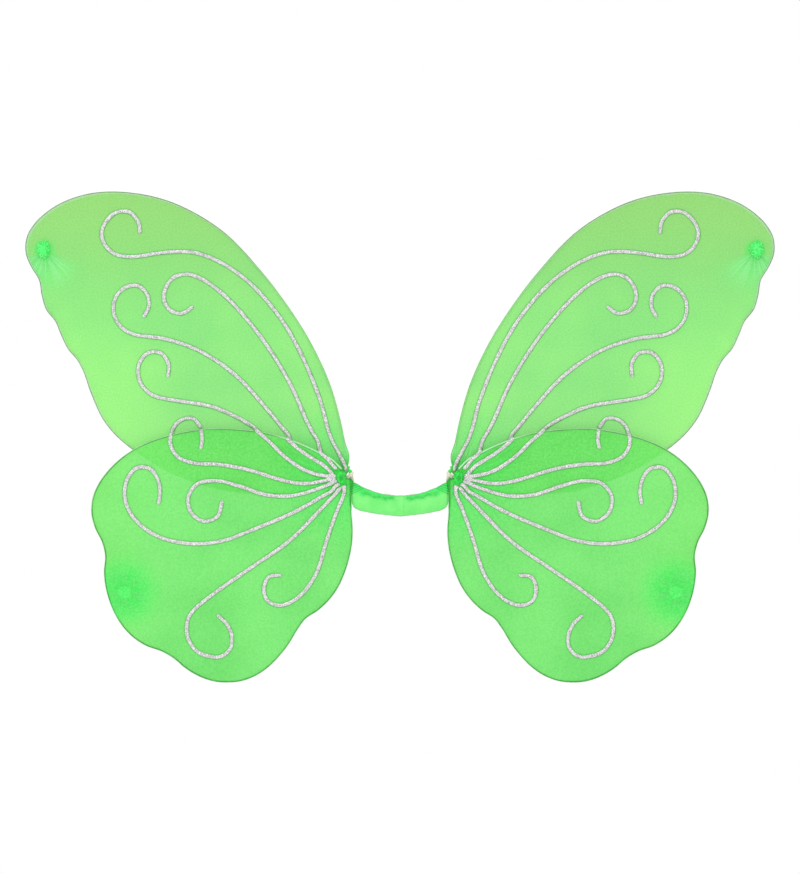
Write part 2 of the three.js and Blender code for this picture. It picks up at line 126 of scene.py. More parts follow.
def mesh_piece(name, points, faces, uv=None, attributes=None):
    """A mesh from rows of points. uv and attributes give one value for each point."""
    mesh = bpy.data.meshes.new(name)
    mesh.from_pydata([tuple(p) for p in points], [], faces)
    if uv is not None:
        layer = mesh.uv_layers.new(name="UVMap")
        corners = np.zeros(len(mesh.loops), int)
        mesh.loops.foreach_get("vertex_index", corners)
        layer.data.foreach_set("uv", np.array(uv, np.float32)[corners].ravel())
    for key, values in (attributes or {}).items():
        layer = mesh.attributes.new(key, "FLOAT", "POINT")
        layer.data.foreach_set("value", np.array(values, np.float32))
    piece = bpy.data.objects.new(name, mesh)
    bpy.context.scene.collection.objects.link(piece)
    pick(piece)
    bpy.ops.object.mode_set(mode="EDIT")
    bpy.ops.mesh.select_all(action="SELECT")
    bpy.ops.mesh.normals_make_consistent(inside=False)
    bpy.ops.object.mode_set(mode="OBJECT")
    bpy.ops.object.shade_smooth()
    return piece


def grid_faces(rows, columns, rows_meet=False, columns_meet=True):
    """Quads between rows of points. Rows or columns that meet close into a loop."""
    faces = []
    for i in range(rows if rows_meet else rows - 1):
        a, b = i * columns, (i + 1) % rows * columns
        for k in range(columns if columns_meet else columns - 1):
            m = (k + 1) % columns
            faces.append((a + k, a + m, b + m, b + k))
    return faces


def lumpy(piece, size, strength):
    """Pushes a surface in and out by a solid noise, and applies it."""
    texture = bpy.data.textures.new(piece.name + "_lumps", "CLOUDS")
    texture.noise_scale = size
    push = piece.modifiers.new("lumps", "DISPLACE")
    push.texture = texture
    push.strength = strength
    push.texture_coords = "GLOBAL"
    return settle(piece)


def finish_piece(piece, body, material, slot, *stands_for):
    piece.data.materials.clear()
    piece.data.materials.append(material)
    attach(piece, body)
    if stands_for:
        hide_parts(*stands_for)
    return piece


def middle_of(node):
    low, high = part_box(node)
    return (low + high) / 2


# %% [markdown]
# ## Materials
# A finish is a Principled shader with a few nodes before it. Node graphs are long to write
# out, so a value on a socket gets ordinary arithmetic, and every other node comes from one
# method.

# %% Shader arithmetic


class Value:
    """A number on a node's output socket."""

    def __init__(self, finish, socket):
        self.finish = finish
        self.socket = socket

    def _with(self, operation, first, second):
        return self.finish.node("ShaderNodeMath", {"operation": operation}, {0: first, 1: second})

    def __add__(self, other):
        return self._with("ADD", self, other)

    def __mul__(self, other):
        return self._with("MULTIPLY", self, other)

    def __sub__(self, other):
        return self._with("SUBTRACT", self, other)

    def __rsub__(self, other):
        return self._with("SUBTRACT", other, self)

    def __truediv__(self, other):
        return self._with("DIVIDE", self, other)

    __radd__ = __add__
    __rmul__ = __mul__


class Finish:
    """A material with one Principled shader."""

    def __init__(self, name, **constants):
        self.material = bpy.data.materials.new(name)
        self.material.use_nodes = True
        self.tree = self.material.node_tree
        self.shader = self.tree.nodes["Principled BSDF"]
        for key, value in constants.items():
            self.shader.inputs[key.replace("_", " ")].default_value = value
        self.place = self.node("ShaderNodeTexCoord", out="Object")
        self.uv = self.node("ShaderNodeTexCoord", out="UV")

    def node(self, kind, settings=None, inputs=None, out=0):
        made = self.tree.nodes.new(kind)
        for key, value in (settings or {}).items():
            setattr(made, key, value)
        for key, value in (inputs or {}).items():
            self.feed(made.inputs[key], value)
        return Value(self, made.outputs[out])

    def feed(self, socket, value):
        if isinstance(value, Value):
            self.tree.links.new(value.socket, socket)
        elif isinstance(value, tuple) and len(value) == 3 and socket.type == "RGBA":
            socket.default_value = (*value, 1)
        else:
            socket.default_value = value

    def mix(self, factor, first, second):
        settings = {"data_type": "RGBA"}
        return self.node("ShaderNodeMix", settings, {0: factor, 6: first, 7: second}, out=2)

    def noise(self, scale, where=None, detail=2.0, rough=0.5):
        inputs = {"Vector": where or self.place, "Scale": scale, "Detail": detail}
        return self.node("ShaderNodeTexNoise", {}, {**inputs, "Roughness": rough}, out="Fac")

    def attribute(self, name):
        return self.node("ShaderNodeAttribute", {"attribute_name": name}, out="Fac")

    def between(self, value, low, high):
        """0 below low, 1 above high, and smooth between them."""
        settings = {"interpolation_type": "SMOOTHSTEP"}
        inputs = {"Value": value, "From Min": low, "From Max": high}
        return self.node("ShaderNodeMapRange", settings, inputs)

    def split(self, vector):
        made = self.tree.nodes.new("ShaderNodeSeparateXYZ")
        self.feed(made.inputs[0], vector)
        return [Value(self, output) for output in made.outputs]

    def vector(self, x, y, z):
        return self.node("ShaderNodeCombineXYZ", {}, {0: x, 1: y, 2: z})

    def math(self, operation, *values):
        return self.node("ShaderNodeMath", {"operation": operation}, dict(enumerate(values)))

    def wear(self, colour=None, rough=None, bump=None, height=0.2 * MM, strength=0.6, **more):
        """Feeds the shader's sockets and returns the material."""
        if colour is not None:
            self.feed(self.shader.inputs["Base Color"], colour)
        if rough is not None:
            self.feed(self.shader.inputs["Roughness"], rough)
        for key, value in more.items():
            self.feed(self.shader.inputs[key.replace("_", " ")], value)
        if bump is not None:
            inputs = {"Height": bump, "Strength": strength, "Distance": height}
            self.feed(self.shader.inputs["Normal"], self.node("ShaderNodeBump", {}, inputs))
        return self.material


def linear(red, green, blue):
    """A screen colour, 0 to 255, as the light that a shader works in."""
    return tuple((c / 255) ** 2.2 for c in (red, green, blue))


# %% [markdown]
# ## Lines
# A tube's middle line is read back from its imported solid: the solid is rings of points, so
# walking from one end cap from ring to ring and averaging each ring gives the line. A smooth
# curve through those points is then cut into short even steps.

# %% Middle lines


def middle_line(node, widest):
    """The middle of each ring of a swept solid, from its higher end."""
    mesh = bmesh.new()
    mesh.from_mesh(nodes[node].data)
    bmesh.ops.remove_doubles(mesh, verts=mesh.verts, dist=0.01 * MM)
    caps = [f for f in mesh.faces if all(e.calc_length() < widest for e in f.edges)]
    start = max(caps, key=lambda f: f.calc_center_median().z)
    ring = set(start.verts)
    grew = True
    while grew:
        more = {v for f in caps if ring & set(f.verts) for v in f.verts}
        grew = not more <= ring
        ring |= more
    seen = set(ring)
    line = []
    while ring:
        line.append(np.mean([v.co for v in ring], axis=0))
        ring = {e.other_vert(v) for v in ring for e in v.link_edges} - seen
        seen |= ring
    mesh.free()
    return np.array(line)


def even_steps(points, pitch):
    """A smooth curve through points, cut into even steps."""
    points = np.array(points, float)
    along = np.concatenate([[0], np.cumsum(np.linalg.norm(np.diff(points, axis=0), axis=1))])
    slopes = np.gradient(points, along, axis=0)
    fine = np.linspace(0, along[-1], int(along[-1] / pitch * 4) + 2)
    at = np.clip(np.searchsorted(along, fine, side="right") - 1, 0, len(along) - 2)
    step = (along[at + 1] - along[at])[:, None]
    s = (fine - along[at])[:, None] / step
    curve = (
        (2 * s**3 - 3 * s**2 + 1) * points[at]
        + (s**3 - 2 * s**2 + s) * step * slopes[at]
        + (3 * s**2 - 2 * s**3) * points[at + 1]
        + (s**3 - s**2) * step * slopes[at + 1]
    )
    run = np.concatenate([[0], np.cumsum(np.linalg.norm(np.diff(curve, axis=0), axis=1))])
    stops = np.linspace(0, run[-1], max(2, round(run[-1] / pitch)) + 1)
    return np.stack([np.interp(stops, run, column) for column in curve.T], axis=1)


def tube(name, points, radius, sides=10, closed=False, uv_turn=None):
    """A round tube along points, with its own UV map: round it and along it."""
    points = np.array(points, float)
    count = len(points)
    ahead = np.roll(points, -1, axis=0)
    behind = np.roll(points, 1, axis=0)
    if not closed:
        ahead[-1] = points[-1]
        behind[0] = points[0]
    tangents = ahead - behind
    tangents /= np.linalg.norm(tangents, axis=1)[:, None]
    up = np.array([0.0, 1.0, 0.0]) if abs(tangents[0][1]) < 0.9 else np.array([1.0, 0, 0])
    radii = np.broadcast_to(radius, count)
    rows, uv = [], []
    length = 0.0
    for i in range(count):
        up = up - tangents[i] * (up @ tangents[i])
        up /= np.linalg.norm(up)
        across = np.cross(tangents[i], up)
        length += np.linalg.norm(points[i] - points[i - 1]) if i else 0
        for k in range(sides):
            turn = 2 * math.pi * k / sides
            rows.append(points[i] + radii[i] * (math.cos(turn) * up + math.sin(turn) * across))
            uv.append((k / sides, length / (uv_turn or 1)))
    faces = grid_faces(count, sides, rows_meet=closed)
    if not closed:
        faces.append(tuple(range(sides)))
        faces.append(tuple((count - 1) * sides + k for k in reversed(range(sides))))
    return mesh_piece(name, rows, faces, uv)


# %% [markdown]
# ## Arm loops
# An arm loop is 0.46 m of round elastic, braided over rubber. It is wound twice round the
# upright end of the band's wire, and the rest is put away as a hank behind the band.
# Elastic is limp, so the hank is flat: round ends, straight runs, one turn behind the other.
# The points of the two leads are listed, and the hank is a loop of code.

# %% Elastic material
BRAID_STRANDS = 12
ELASTIC_D = 1.9 * MM


def braided_elastic():
    finish = Finish("braided_elastic", Sheen_Weight=0.3)
    around, along, _ = finish.split(finish.uv)
    right = finish.math("SINE", (around * BRAID_STRANDS + along) * (2 * math.pi))
    left = finish.math("SINE", (around * BRAID_STRANDS - along) * (2 * math.pi))
    strands = finish.math("MAXIMUM", right, left) * 0.5 + 0.5
    dirt = finish.noise(900, detail=3)
    base = finish.mix(dirt, linear(236, 229, 205), linear(250, 246, 230))
    colour = finish.mix(strands, linear(186, 180, 150), base)
    return finish.wear(colour, 0.85 - 0.15 * strands, strands, 0.12 * MM, 0.8)


elastic = braided_elastic()
print("elastic finish:", elastic.name)

# %% [markdown]
# One cord runs from the root out to the hank, round the hank and back to the root. Drawn as
# one line it has no joints to hide, and its length can be read straight off the line.

# %% Arm loops as cords
LEAD_OUT = [
    (46.1, -3.4, 27.3), (45.8, -1, 27.2), (44.8, 1.6, 25.4), (43.6, 3, 21),
    (41.4, 3.2, 16.6), (38.8, 3.3, 14), (37.2, 3.3, 11.9),
]
LEAD_BACK = [
    (46.3, -3.4, 29.8), (46, 0, 29.9), (45, 4.2, 28), (43.9, 8.4, 23), (43.3, 11.2, 17.5),
    (43.1, 12.3, 13), (43.1, 12.5, 9.8),
]
HANK_TURNS = 4.75
HANK_POINTS = 44  # in one turn
HANK_FIRST_Y = 3.3
HANK_LAST_Y = 12.5


def hank_turns(side):
    """Points of the turns, in mm: inwards along the top, outwards along the bottom."""
    low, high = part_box(f"{'left' if side < 0 else 'right'}_elastic_hank")
    middle = abs(low.x + high.x) / 2 / MM
    bend = (high.z - low.z) / 2 / MM - ELASTIC_D / MM / 2
    half_run = (high.x - low.x) / 2 / MM - bend - ELASTIC_D / MM / 2
    height = (low.z + high.z) / 2 / MM
    run, arc = 2 * half_run, math.pi * bend
    around = 2 * (run + arc)
    count = int(HANK_TURNS * HANK_POINTS)
    points = []
    for i in range(2, count + 1):
        share = i / count
        place = (share * HANK_TURNS * around) % around
        depth = HANK_FIRST_Y + (HANK_LAST_Y - HANK_FIRST_Y) * share
        if place < run:
            u, z = middle + half_run - place, height + bend
        elif place < run + arc:
            turn = math.pi / 2 + (place - run) / bend
            u, z = middle - half_run + bend * math.cos(turn), height + bend * math.sin(turn)
        elif place < 2 * run + arc:
            u, z = middle - half_run + (place - run - arc), height - bend
        else:
            turn = -math.pi / 2 + (place - 2 * run - arc) / bend
            u, z = middle + half_run + bend * math.cos(turn), height + bend * math.sin(turn)
        points.append((u, depth, z))
    return points


def arm_loop(name, side):
    route = LEAD_OUT + hank_turns(side) + LEAD_BACK[::-1][1:]
    route = np.array(route) * MM * (side, 1, 1)
    line = even_steps(route, 0.9 * MM)
    piece = tube(f"{name}_arm_loop", line, ELASTIC_D / 2, sides=10, uv_turn=4 * ELASTIC_D)
    lead = [f"{name}_elastic_lead_out", f"{name}_elastic_lead_back", f"{name}_elastic_hank"]
    finish_piece(piece, "band", elastic, "elastic", *lead)
    length = float(np.sum(np.linalg.norm(np.diff(line, axis=0), axis=1)))
    return piece, line, length


cords = {}
for name, side in SIDES.items():
    cords[name] = arm_loop(name, side)
    print(name, "arm loop:", round(cords[name][2], 3), "m")

# %% [markdown]
# The two turns on the upright wire are pulled tight and lie a little askew. A helix round
# the wire gives them, and its two ends meet the leads.

# %% Elastic wound on the roots
WRAP_TILT = 0.62  # how far a turn climbs towards the middle, as a share of its radius
WRAP_STEPS = 56
WRAP_RISE = ([0, 0.25, 0.75, 1], [-1.25, -0.98, 0.98, 1.25])  # share of the way, height in mm


def wound_elastic(name, side):
    low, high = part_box(f"{name}_elastic_wrap")
    centre = (low + high) / 2
    radius = (high.x - low.x) / 2 - ELASTIC_D / 2
    points = []
    for i in range(WRAP_STEPS + 1):
        share = i / WRAP_STEPS
        turn = 2 * math.pi * (0.25 + 2 * share)
        rise = np.interp(share, *WRAP_RISE) * MM
        x, y = radius * math.cos(turn), radius * math.sin(turn)
        points.append((centre.x - side * x, centre.y + y, centre.z + rise + x * WRAP_TILT))
    line = even_steps(points, 0.5 * MM)
    piece = tube(f"{name}_wound_elastic", line, ELASTIC_D / 2, sides=12, uv_turn=4 * ELASTIC_D)
    return finish_piece(piece, "band", elastic, "elastic", f"{name}_elastic_wrap")


for name, side in SIDES.items():
    wrap = wound_elastic(name, side)
    piece, line, length = cords[name]
    print(name, "wrap:", len(wrap.data.polygons), "faces")

# %% [markdown]
# ## Wires
# The loops are 2 mm steel wire. A wire this thin shows only as a dark line with a thin
# highlight through the nylon, so a smooth round tube along its middle line is enough, with
# the drawn streaks and dull spots of bare wire in its finish.

# %% Wire material
WIRE_R = 0.92 * MM


def steel_wire():
    finish = Finish("steel_wire", Metallic=0.5, Specular_IOR_Level=0.4)
    dull = finish.noise(260, detail=4)
    spots = finish.between(finish.noise(1500), 0.55, 0.75)
    colour = finish.mix(dull, linear(112, 136, 118), linear(160, 178, 164))
    colour = finish.mix(spots * 0.5, colour, linear(150, 160, 150))
    return finish.wear(colour, dull * 0.35 + 0.2, dull, 0.05 * MM, 0.4)


steel = steel_wire()
print("wire finish:", steel.name)

# %% [markdown]
# The line of each loop is kept, because the stocking, the glue and the ties all stand on it.
# Short steps keep the curve of a loop smooth, and the band's tighter bends get shorter ones.

# %% Wires
PARTS = ("upper", "lower")
CAP_EDGE = 2.5 * MM  # longer than any edge in the end cap of a wire's solid
LOOP_PITCH = 2.5 * MM
BAND_WIRE_PITCH = 1.5 * MM
BAND_WIRE_R = 0.98 * MM

wing_lines = {}
wing_y = {}
for name in SIDES:
    for part in PARTS:
        wing = f"{name}_{part}"
        line = even_steps(middle_line(f"{wing}_wire", CAP_EDGE), LOOP_PITCH)
        wing_lines[wing] = line
        wing_y[wing] = float(np.mean(line[:, 1]))
        piece = tube(f"{wing}_loop_wire", line, WIRE_R, sides=10)
        finish_piece(piece, f"{wing}_wing", steel, "steel_wire", f"{wing}_wire")
        print(wing, "wire:", round(len(line) * LOOP_PITCH, 2), "m")

bridge = even_steps(middle_line("bridge_wire", CAP_EDGE), BAND_WIRE_PITCH)
bridge_piece = tube("band_wire", bridge, BAND_WIRE_R, sides=12)
finish_piece(bridge_piece, "band", steel, "steel_wire", "bridge_wire")

# %% [markdown]
# ## Stockings
# Each wing is covered by a stocking that is pulled over the wire loop and tied at both ends,
# so it is two layers of very thin knitted nylon. It is modelled as one closed envelope: a
# front sheet from the root to the wire, a short arc round the wire, and a rear sheet back to
# the root. A fan of rays from the root makes the grid, because the nylon is gathered there
# and its folds run out along the same rays. Near the root the folds are deep and the nylon
# is dense. Further out it is flat and sheer.

# %% Shape of a stocking
PIVOT = {}
for name in SIDES:
    middle = middle_of(f"{name}_upper_root_thread")
    PIVOT[name] = np.array([abs(middle.x), middle.z])

# Where the cloth is pulled from the wire to the lashing, as [x, z] in mm. The upper wing
# passes behind the wound elastic and the lower wing in front of the upright wire.
ROOT_HEM = {
    "upper": [(50.6, 24.8), (50.6, 30.2), (49.1, 31.8), (47.9, 34.6), (47.8, 37.4)],
    "lower": [(45.9, -4), (46.1, 2), (46.4, 8), (46.4, 14), (45.9, 18.6), (44.4, 21), (44.2, 23.7)],
}
HEM_FROM_Z = -5  # the lower wing's hem takes over from its wire at this height, in mm
LAYER_HALF = 0.75 * MM  # from the middle of a wing to either sheet
RIM_R = 1.12 * MM
RIM_PITCH = 2.5 * MM
RIM_FADE = 5 * MM  # over this the sheets close from the wire's thickness to their own
ARC_STEPS = 5  # round the wire
INNER_R = 3.2 * MM
ROWS = 64
ROW_CROWDING = 1.5  # more than 1 puts more rows near the root
ROOT_POINTS = 12  # of a loop's line, which may still turn back at the root
FOLDS = 26
FOLD_HIGH = 0.9 * MM
FOLD_FADE = 4 * MM


def rim_angles(rim, pivot):
    return np.unwrap(np.arctan2(rim[:, 1] - pivot[1], rim[:, 0] - pivot[0]))


def stocking_rim(wing, side, pivot):
    """A stocking's edge as [x, z]: round the wire, and along the pulled hem at the root."""
    line = wing_lines[wing]
    rim = np.stack([line[:, 0] * side, line[:, 2]], axis=1)
    first = int(np.argmax(rim_angles(rim, pivot)[:ROOT_POINTS]))
    hem = np.array(ROOT_HEM[wing.split("_")[1]]) * MM
    if "upper" in wing:
        rim = np.concatenate([hem, rim[max(first, 1) :]])
    else:
        rim = rim[first:]
        outgoing = np.arange(len(rim)) < len(rim) // 2
        rim = np.concatenate([rim[outgoing | (rim[:, 1] < HEM_FROM_Z * MM)], hem])
    return even_steps(rim, RIM_PITCH)


def fold_depth(angle, reach, seed, folds):
    """Depth of the gathers: narrow folds, each with its own width, depth and length."""
    draw = np.random.default_rng(seed)
    low, high = angle.min(), angle.max()
    depth = np.zeros_like(angle)
    for i in range(folds):
        centre = low + (high - low) * (i + draw.uniform(0.1, 0.9)) / folds
        width = draw.uniform(0.018, 0.05)
        height = draw.uniform(0.3, 1.0)
        length = draw.uniform(18, 62) * MM
        ridge = np.exp(-(((angle - centre) / width) ** 2))
        depth += height * ridge * np.exp(-((reach / length) ** 1.5))
    return depth * np.clip((reach - INNER_R) / (5 * MM), 0, 1)


def fan_ends(total, columns):
    """Narrow strips between the two sheets, which close both ends of the fan."""
    faces = []
    for i in range(total // 2 - 1):
        for c in (0, columns - 1):
            rows = (i, i + 1, total - 2 - i, total - 1 - i)
            faces.append(tuple(row * columns + c for row in rows))
    return faces


def stocking(wing, side, pivot, seed):
    rim = stocking_rim(wing, side, pivot)
    angles = rim_angles(rim, pivot)
    tangents = np.gradient(rim, axis=0)
    tangents /= np.linalg.norm(tangents, axis=1)[:, None]
    outward = np.stack([-tangents[:, 1], tangents[:, 0]], axis=1)
    spread = rim - pivot
    reach = np.linalg.norm(spread, axis=1)

    shares = np.linspace(0, 1, ROWS) ** ROW_CROWDING
    columns = len(rim)
    radius = INNER_R + (reach[None, :] - INNER_R) * shares[:, None]
    flat = pivot + spread[None] * (radius / reach[None, :])[..., None]
    to_rim = reach[None, :] - radius
    apart = LAYER_HALF + (RIM_R - LAYER_HALF) * np.exp(-to_rim / RIM_FADE)
    angle_grid = np.broadcast_to(angles[None, :], radius.shape)
    depth = fold_depth(angle_grid, radius, seed, FOLDS)
    pushed = depth * FOLD_HIGH * (1 - np.exp(-to_rim / FOLD_FADE))

    rows, uv, folds, inside = [], [], [], []

    def add_row(place, y, distance, fold, edge):
        rows.append(np.stack([place[:, 0] * side, y, place[:, 1]], 1))
        uv.append(np.stack([angles, distance], 1))
        folds.append(fold)
        inside.append(edge)

    for i in range(ROWS):
        add_row(flat[i], wing_y[wing] - apart[i] + pushed[i], radius[i], depth[i], to_rim[i])
    for k in range(1, ARC_STEPS):
        turn = -math.pi / 2 + math.pi * k / ARC_STEPS
        bulge = RIM_R * math.cos(turn)
        y = np.full(columns, wing_y[wing] + RIM_R * math.sin(turn))
        add_row(rim + bulge * outward, y, reach, np.zeros(columns), np.full(columns, -bulge))
    for i in reversed(range(ROWS)):
        add_row(flat[i], wing_y[wing] + apart[i] + pushed[i], radius[i], depth[i], to_rim[i])

    faces = grid_faces(len(rows), columns, rows_meet=True, columns_meet=False)
    faces += fan_ends(len(rows), columns)
    area = 0.5 * float(np.sum(np.abs(np.cross(spread[:-1], spread[1:]))))
    # The depth of the gathers goes to the nylon as "fold", where it darkens the colour as painted
    # shade in the folds.
    attributes = {"fold": np.concatenate(folds), "inside": np.concatenate(inside) / MM}
    points, uv = np.concatenate(rows), np.concatenate(uv)
    return mesh_piece(f"{wing}_stocking", points, faces, uv, attributes), area


print("pivots:", {name: [round(float(c), 4) for c in pivot] for name, pivot in PIVOT.items()})

# %% [markdown]
# ## Nylon
# The knit is sheer: a layer lets a quarter to a third of the light straight through, so the
# white behind shows, and two wings together look deeper. The stitches run along the
# pull. Where the nylon is gathered, at the root and at the tied ends, it is darker and
# nearly opaque, with painted shade in its folds and creases, and fine strain lines run out
# from each tie. Along the wire the colour holds a painted highlight and painted shade, and
# beside the band a painted shadow.

# %% Nylon material
SHEER = {"upper": 0.66, "lower": 0.745}
NYLON_LIGHT = {"upper": linear(130, 235, 96), "lower": linear(106, 232, 98)}
NYLON_DEEP = {"upper": linear(104, 222, 90), "lower": linear(84, 220, 80)}
NYLON_WARM = linear(126, 208, 66)
NYLON_BRIGHT = linear(146, 250, 96)  # the outer part, away from the top
NYLON_TAUT = linear(58, 240, 92)  # between the gathers
NYLON_GATHERED = linear(12, 204, 56)
NYLON_PALE = linear(214, 255, 214)
NYLON_GRAIN = linear(172, 252, 150)
NYLON_BAND_SHADOW = linear(4, 150, 34)
NYLON_SHADE = {"upper": linear(70, 62, 66), "lower": linear(30, 116, 36)}


def slow_tone(finish, part, u, z):
    """The colour of the knit, which changes slowly over the wing."""
    flat = finish.vector(u, 0.0, z)
    broad = finish.noise(7, flat, detail=3)
    cloud = finish.noise(26, flat, detail=3)
    tone = finish.between(broad * 0.7 + cloud * 0.3, 0.36, 0.64)
    colour = finish.mix(tone, NYLON_DEEP[part], NYLON_LIGHT[part])
    colour = finish.mix(finish.between(z, 0.16, 0.30) * 0.9, colour, NYLON_WARM)
    outer = finish.between(u, 0.19, 0.30) * (1 - finish.between(z, 0.12, 0.22))
    return finish.mix(outer * (0.45 if part == "upper" else 0.2), colour, NYLON_BRIGHT)


def tie_marks(finish, part, u, z, tuft):
    """Round the tied end: a dense halo, pale strain lines, painted shade in the creases and a tight
    patch.
    """
    dx = u - float(tuft[0])
    dz = z - float(tuft[1])
    away = finish.math("SQRT", dx * dx + dz * dz)
    bearing = finish.math("ARCTAN2", dz, dx)
    rays_round, rays_along = (7.0, 4.0) if part == "upper" else (5.0, 40.0)
    ray_at = finish.vector(bearing * rays_round, away * rays_along, 0.0)
    rays = finish.between(finish.noise(1.0, ray_at, detail=3, rough=0.7), 0.46, 0.64)
    if part == "upper":
        halo = (1 - finish.between(away, 7 * MM, 13 * MM)) * 0.6
        below = finish.between((0 - dz) / away, 0.2, 0.7)
        strain = (1 - finish.between(away, 12 * MM, 44 * MM)) * rays * below * 0.7
        # crease is painted shade in the creases below the tie.
        crease = (1 - finish.between(away, 8 * MM, 26 * MM)) * (1 - rays) * below * 0.7
        tight = below * (1 - finish.between(away, 6 * MM, 52 * MM)) * 0.8
        return halo, strain, crease, tight
    halo = 1 - finish.between(away, 8 * MM, 42 * MM)
    strain = (1 - finish.between(away, 12 * MM, 30 * MM)) * rays * 0.3
    ring = finish.between(away, 4.5 * MM, 7 * MM)
    # Here crease is painted shade in a ring round the rosette, stronger along the creases.
    crease = ring * (1 - finish.between(away, 9 * MM, 28 * MM)) * (rays * 0.75 + 0.4)
    return halo, strain, crease, None


def rim_marks(finish, part, u, z, close):
    """Over the wire, a painted highlight along it and a line of painted shade beside it."""
    inside = finish.attribute("inside")
    broken = finish.between(finish.noise(55, detail=4, rough=0.7), 0.3, 0.6)
    free = 1 - finish.between(close, 0.05, 0.5)
    if part == "upper":
        outer = finish.between(u, 0.11, 0.20)
        shade = (1 - finish.between(inside, -0.9, -0.2)) * outer * (broken * 0.5 + 0.5)
        rim_highlight = finish.between(inside, -0.4, 0.2) * (1 - finish.between(inside, 0.5, 2.2))
        return rim_highlight * 0.62 * free, shade * free
    # On the lower wing's top edge the painted highlight is wider, with painted shade under it.
    top = finish.between(z, 24 * MM, 32 * MM) * (1 - finish.between(u, 104 * MM, 124 * MM))
    shade = finish.between(inside, -0.9, -0.3) * (1 - finish.between(inside, 0.1, 0.7))
    under = finish.between(inside, 0.7, 1.3) * (1 - finish.between(inside, 1.8, 2.8))
    shade = shade * (broken * 0.4 + 0.4) * (1 - top) + under * top * 0.75
    rim_highlight = (1 - finish.between(inside, -0.9, -0.3)) * 0.8
    rim_highlight = finish.math("MAXIMUM", rim_highlight, top * (1 - finish.between(inside, 0.5, 1.1)) * 0.7)
    free = finish.math("MAXIMUM", free, top)
    return rim_highlight * free, shade * free


# %% [markdown]
# The marks are laid one over the other in the order in which they cover each other, and the
# denser a place is, the less light it lets through. So one set of masks drives both the
# colour and the alpha.

# %% Nylon put together


def sheer_nylon(part, tuft):
    finish = Finish(f"sheer_nylon_{part}", Sheen_Weight=0.12, Specular_IOR_Level=0.3)
    x, _, z = finish.split(finish.place)
    u = finish.math("ABSOLUTE", x)
    angle, radius, _ = finish.split(finish.uv)
    wales = finish.math("SINE", angle * 900.0)
    courses = finish.math("SINE", radius * 5200.0)
    knit = wales * courses * 0.5 + 0.5
    grain = finish.noise(620, detail=4, rough=0.75)
    colour = slow_tone(finish, part, u, z)

    # Gathers that run out from the root: the nylon is denser there, and the fold depth adds painted
    # shade in the folds.
    streak_at = finish.vector(angle * 22.0, radius * 9.0, 0.0)
    streaks = finish.noise(1.0, streak_at, detail=4, rough=0.6)
    near = 1 - finish.between(radius, 10 * MM, 80 * MM)
    close = 1 - finish.between(radius, 5 * MM, 26 * MM)
    fold = finish.attribute("fold")
    wedge = finish.between(streaks, 0.42, 0.62)
    taut = finish.math("MINIMUM", near * (wedge * 0.8 + 0.2) + fold * 0.2, 1.0)
    gather = finish.math("MINIMUM", close * (wedge * 0.5 + 0.5) + fold * close * 0.4, 1.0)

    halo, strain, crease, tight = tie_marks(finish, part, u, z, tuft)
    if tight:
        colour = finish.mix(tight, colour, NYLON_TAUT)
    colour = finish.mix(finish.math("MAXIMUM", taut, halo), colour, NYLON_TAUT)
    # Dense gathered nylon, with painted shade from the folds and from the creases round the tie.
    colour = finish.mix(finish.math("MAXIMUM", gather, crease * 0.8), colour, NYLON_GATHERED)
    colour = finish.mix(strain * 0.4, colour, NYLON_PALE)
    colour = finish.mix(finish.between(grain, 0.34, 0.66) * 0.2, colour, NYLON_GRAIN)
    # A painted highlight and painted shade along the wire.
    rim_highlight, shade = rim_marks(finish, part, u, z, close)
    colour = finish.mix(rim_highlight, colour, NYLON_PALE)
    colour = finish.mix(shade, colour, NYLON_SHADE[part])
    # On the lower wing beside the end of the band: a painted shadow, and denser nylon.
    if part == "lower":
        beside_band = 1 - finish.between(u, 46.3 * MM, 47.5 * MM)
        beside_band = beside_band * finish.between(z, -4 * MM, 2 * MM)
        colour = finish.mix(beside_band * 0.75, colour, NYLON_BAND_SHADOW)
        gather = finish.math("MAXIMUM", gather, beside_band)

    dense = finish.math("MAXIMUM", taut * 0.5, halo * 0.7) + gather * 0.5
    sheer = SHEER[part] + (grain - 0.5) * 0.3 + (knit - 0.5) * 0.05
    sheer = sheer + finish.math("MINIMUM", dense, 1.0) * 0.24
    bump = knit * 0.25 + grain * 0.3 + streaks * near * 1.6 + strain * 0.8
    return finish.wear(colour, 0.62 - knit * 0.1, bump, 0.22 * MM, 0.4, Alpha=sheer)


def tuft_place(wing):
    middle = middle_of(f"{wing}_tip_tuft")
    return np.array([abs(middle.x), middle.z])


nylon = {part: sheer_nylon(part, tuft_place(f"right_{part}")) for part in PARTS}
print("nylon finishes:", [material.name for material in nylon.values()])

# %% [markdown]
# A stocking on a wing is pulled out until it is a fifth larger than it lies on a table, so
# its cut size is smaller than the wing. Its area on the wing is printed.

# %% Stockings on the wires
GATHER_SEED = {"upper": 3, "lower": 8}

for name, side in SIDES.items():
    for part in PARTS:
        wing = f"{name}_{part}"
        piece, area = stocking(wing, side, PIVOT[name], GATHER_SEED[part])
        finish_piece(piece, f"{wing}_wing", nylon[part], "nylon", f"{wing}_nylon")
        print(wing, "stocking:", round(area * 1e4), "cm2,", len(piece.data.polygons), "faces")

# %% [markdown]
# ## Glitter lines
# Glitter glue is squeezed from a tube: it dries as a half-round bead, lumpy, with rounded
# ends, and it is full of small bright flakes. Each line is a curve with a half-round section
# as its bevel, drawn flat and then stood up on the wing. A solid noise makes it lumpy.

# %% Glitter material
SOAKED_SHADED_NYLON = linear(58, 186, 66)


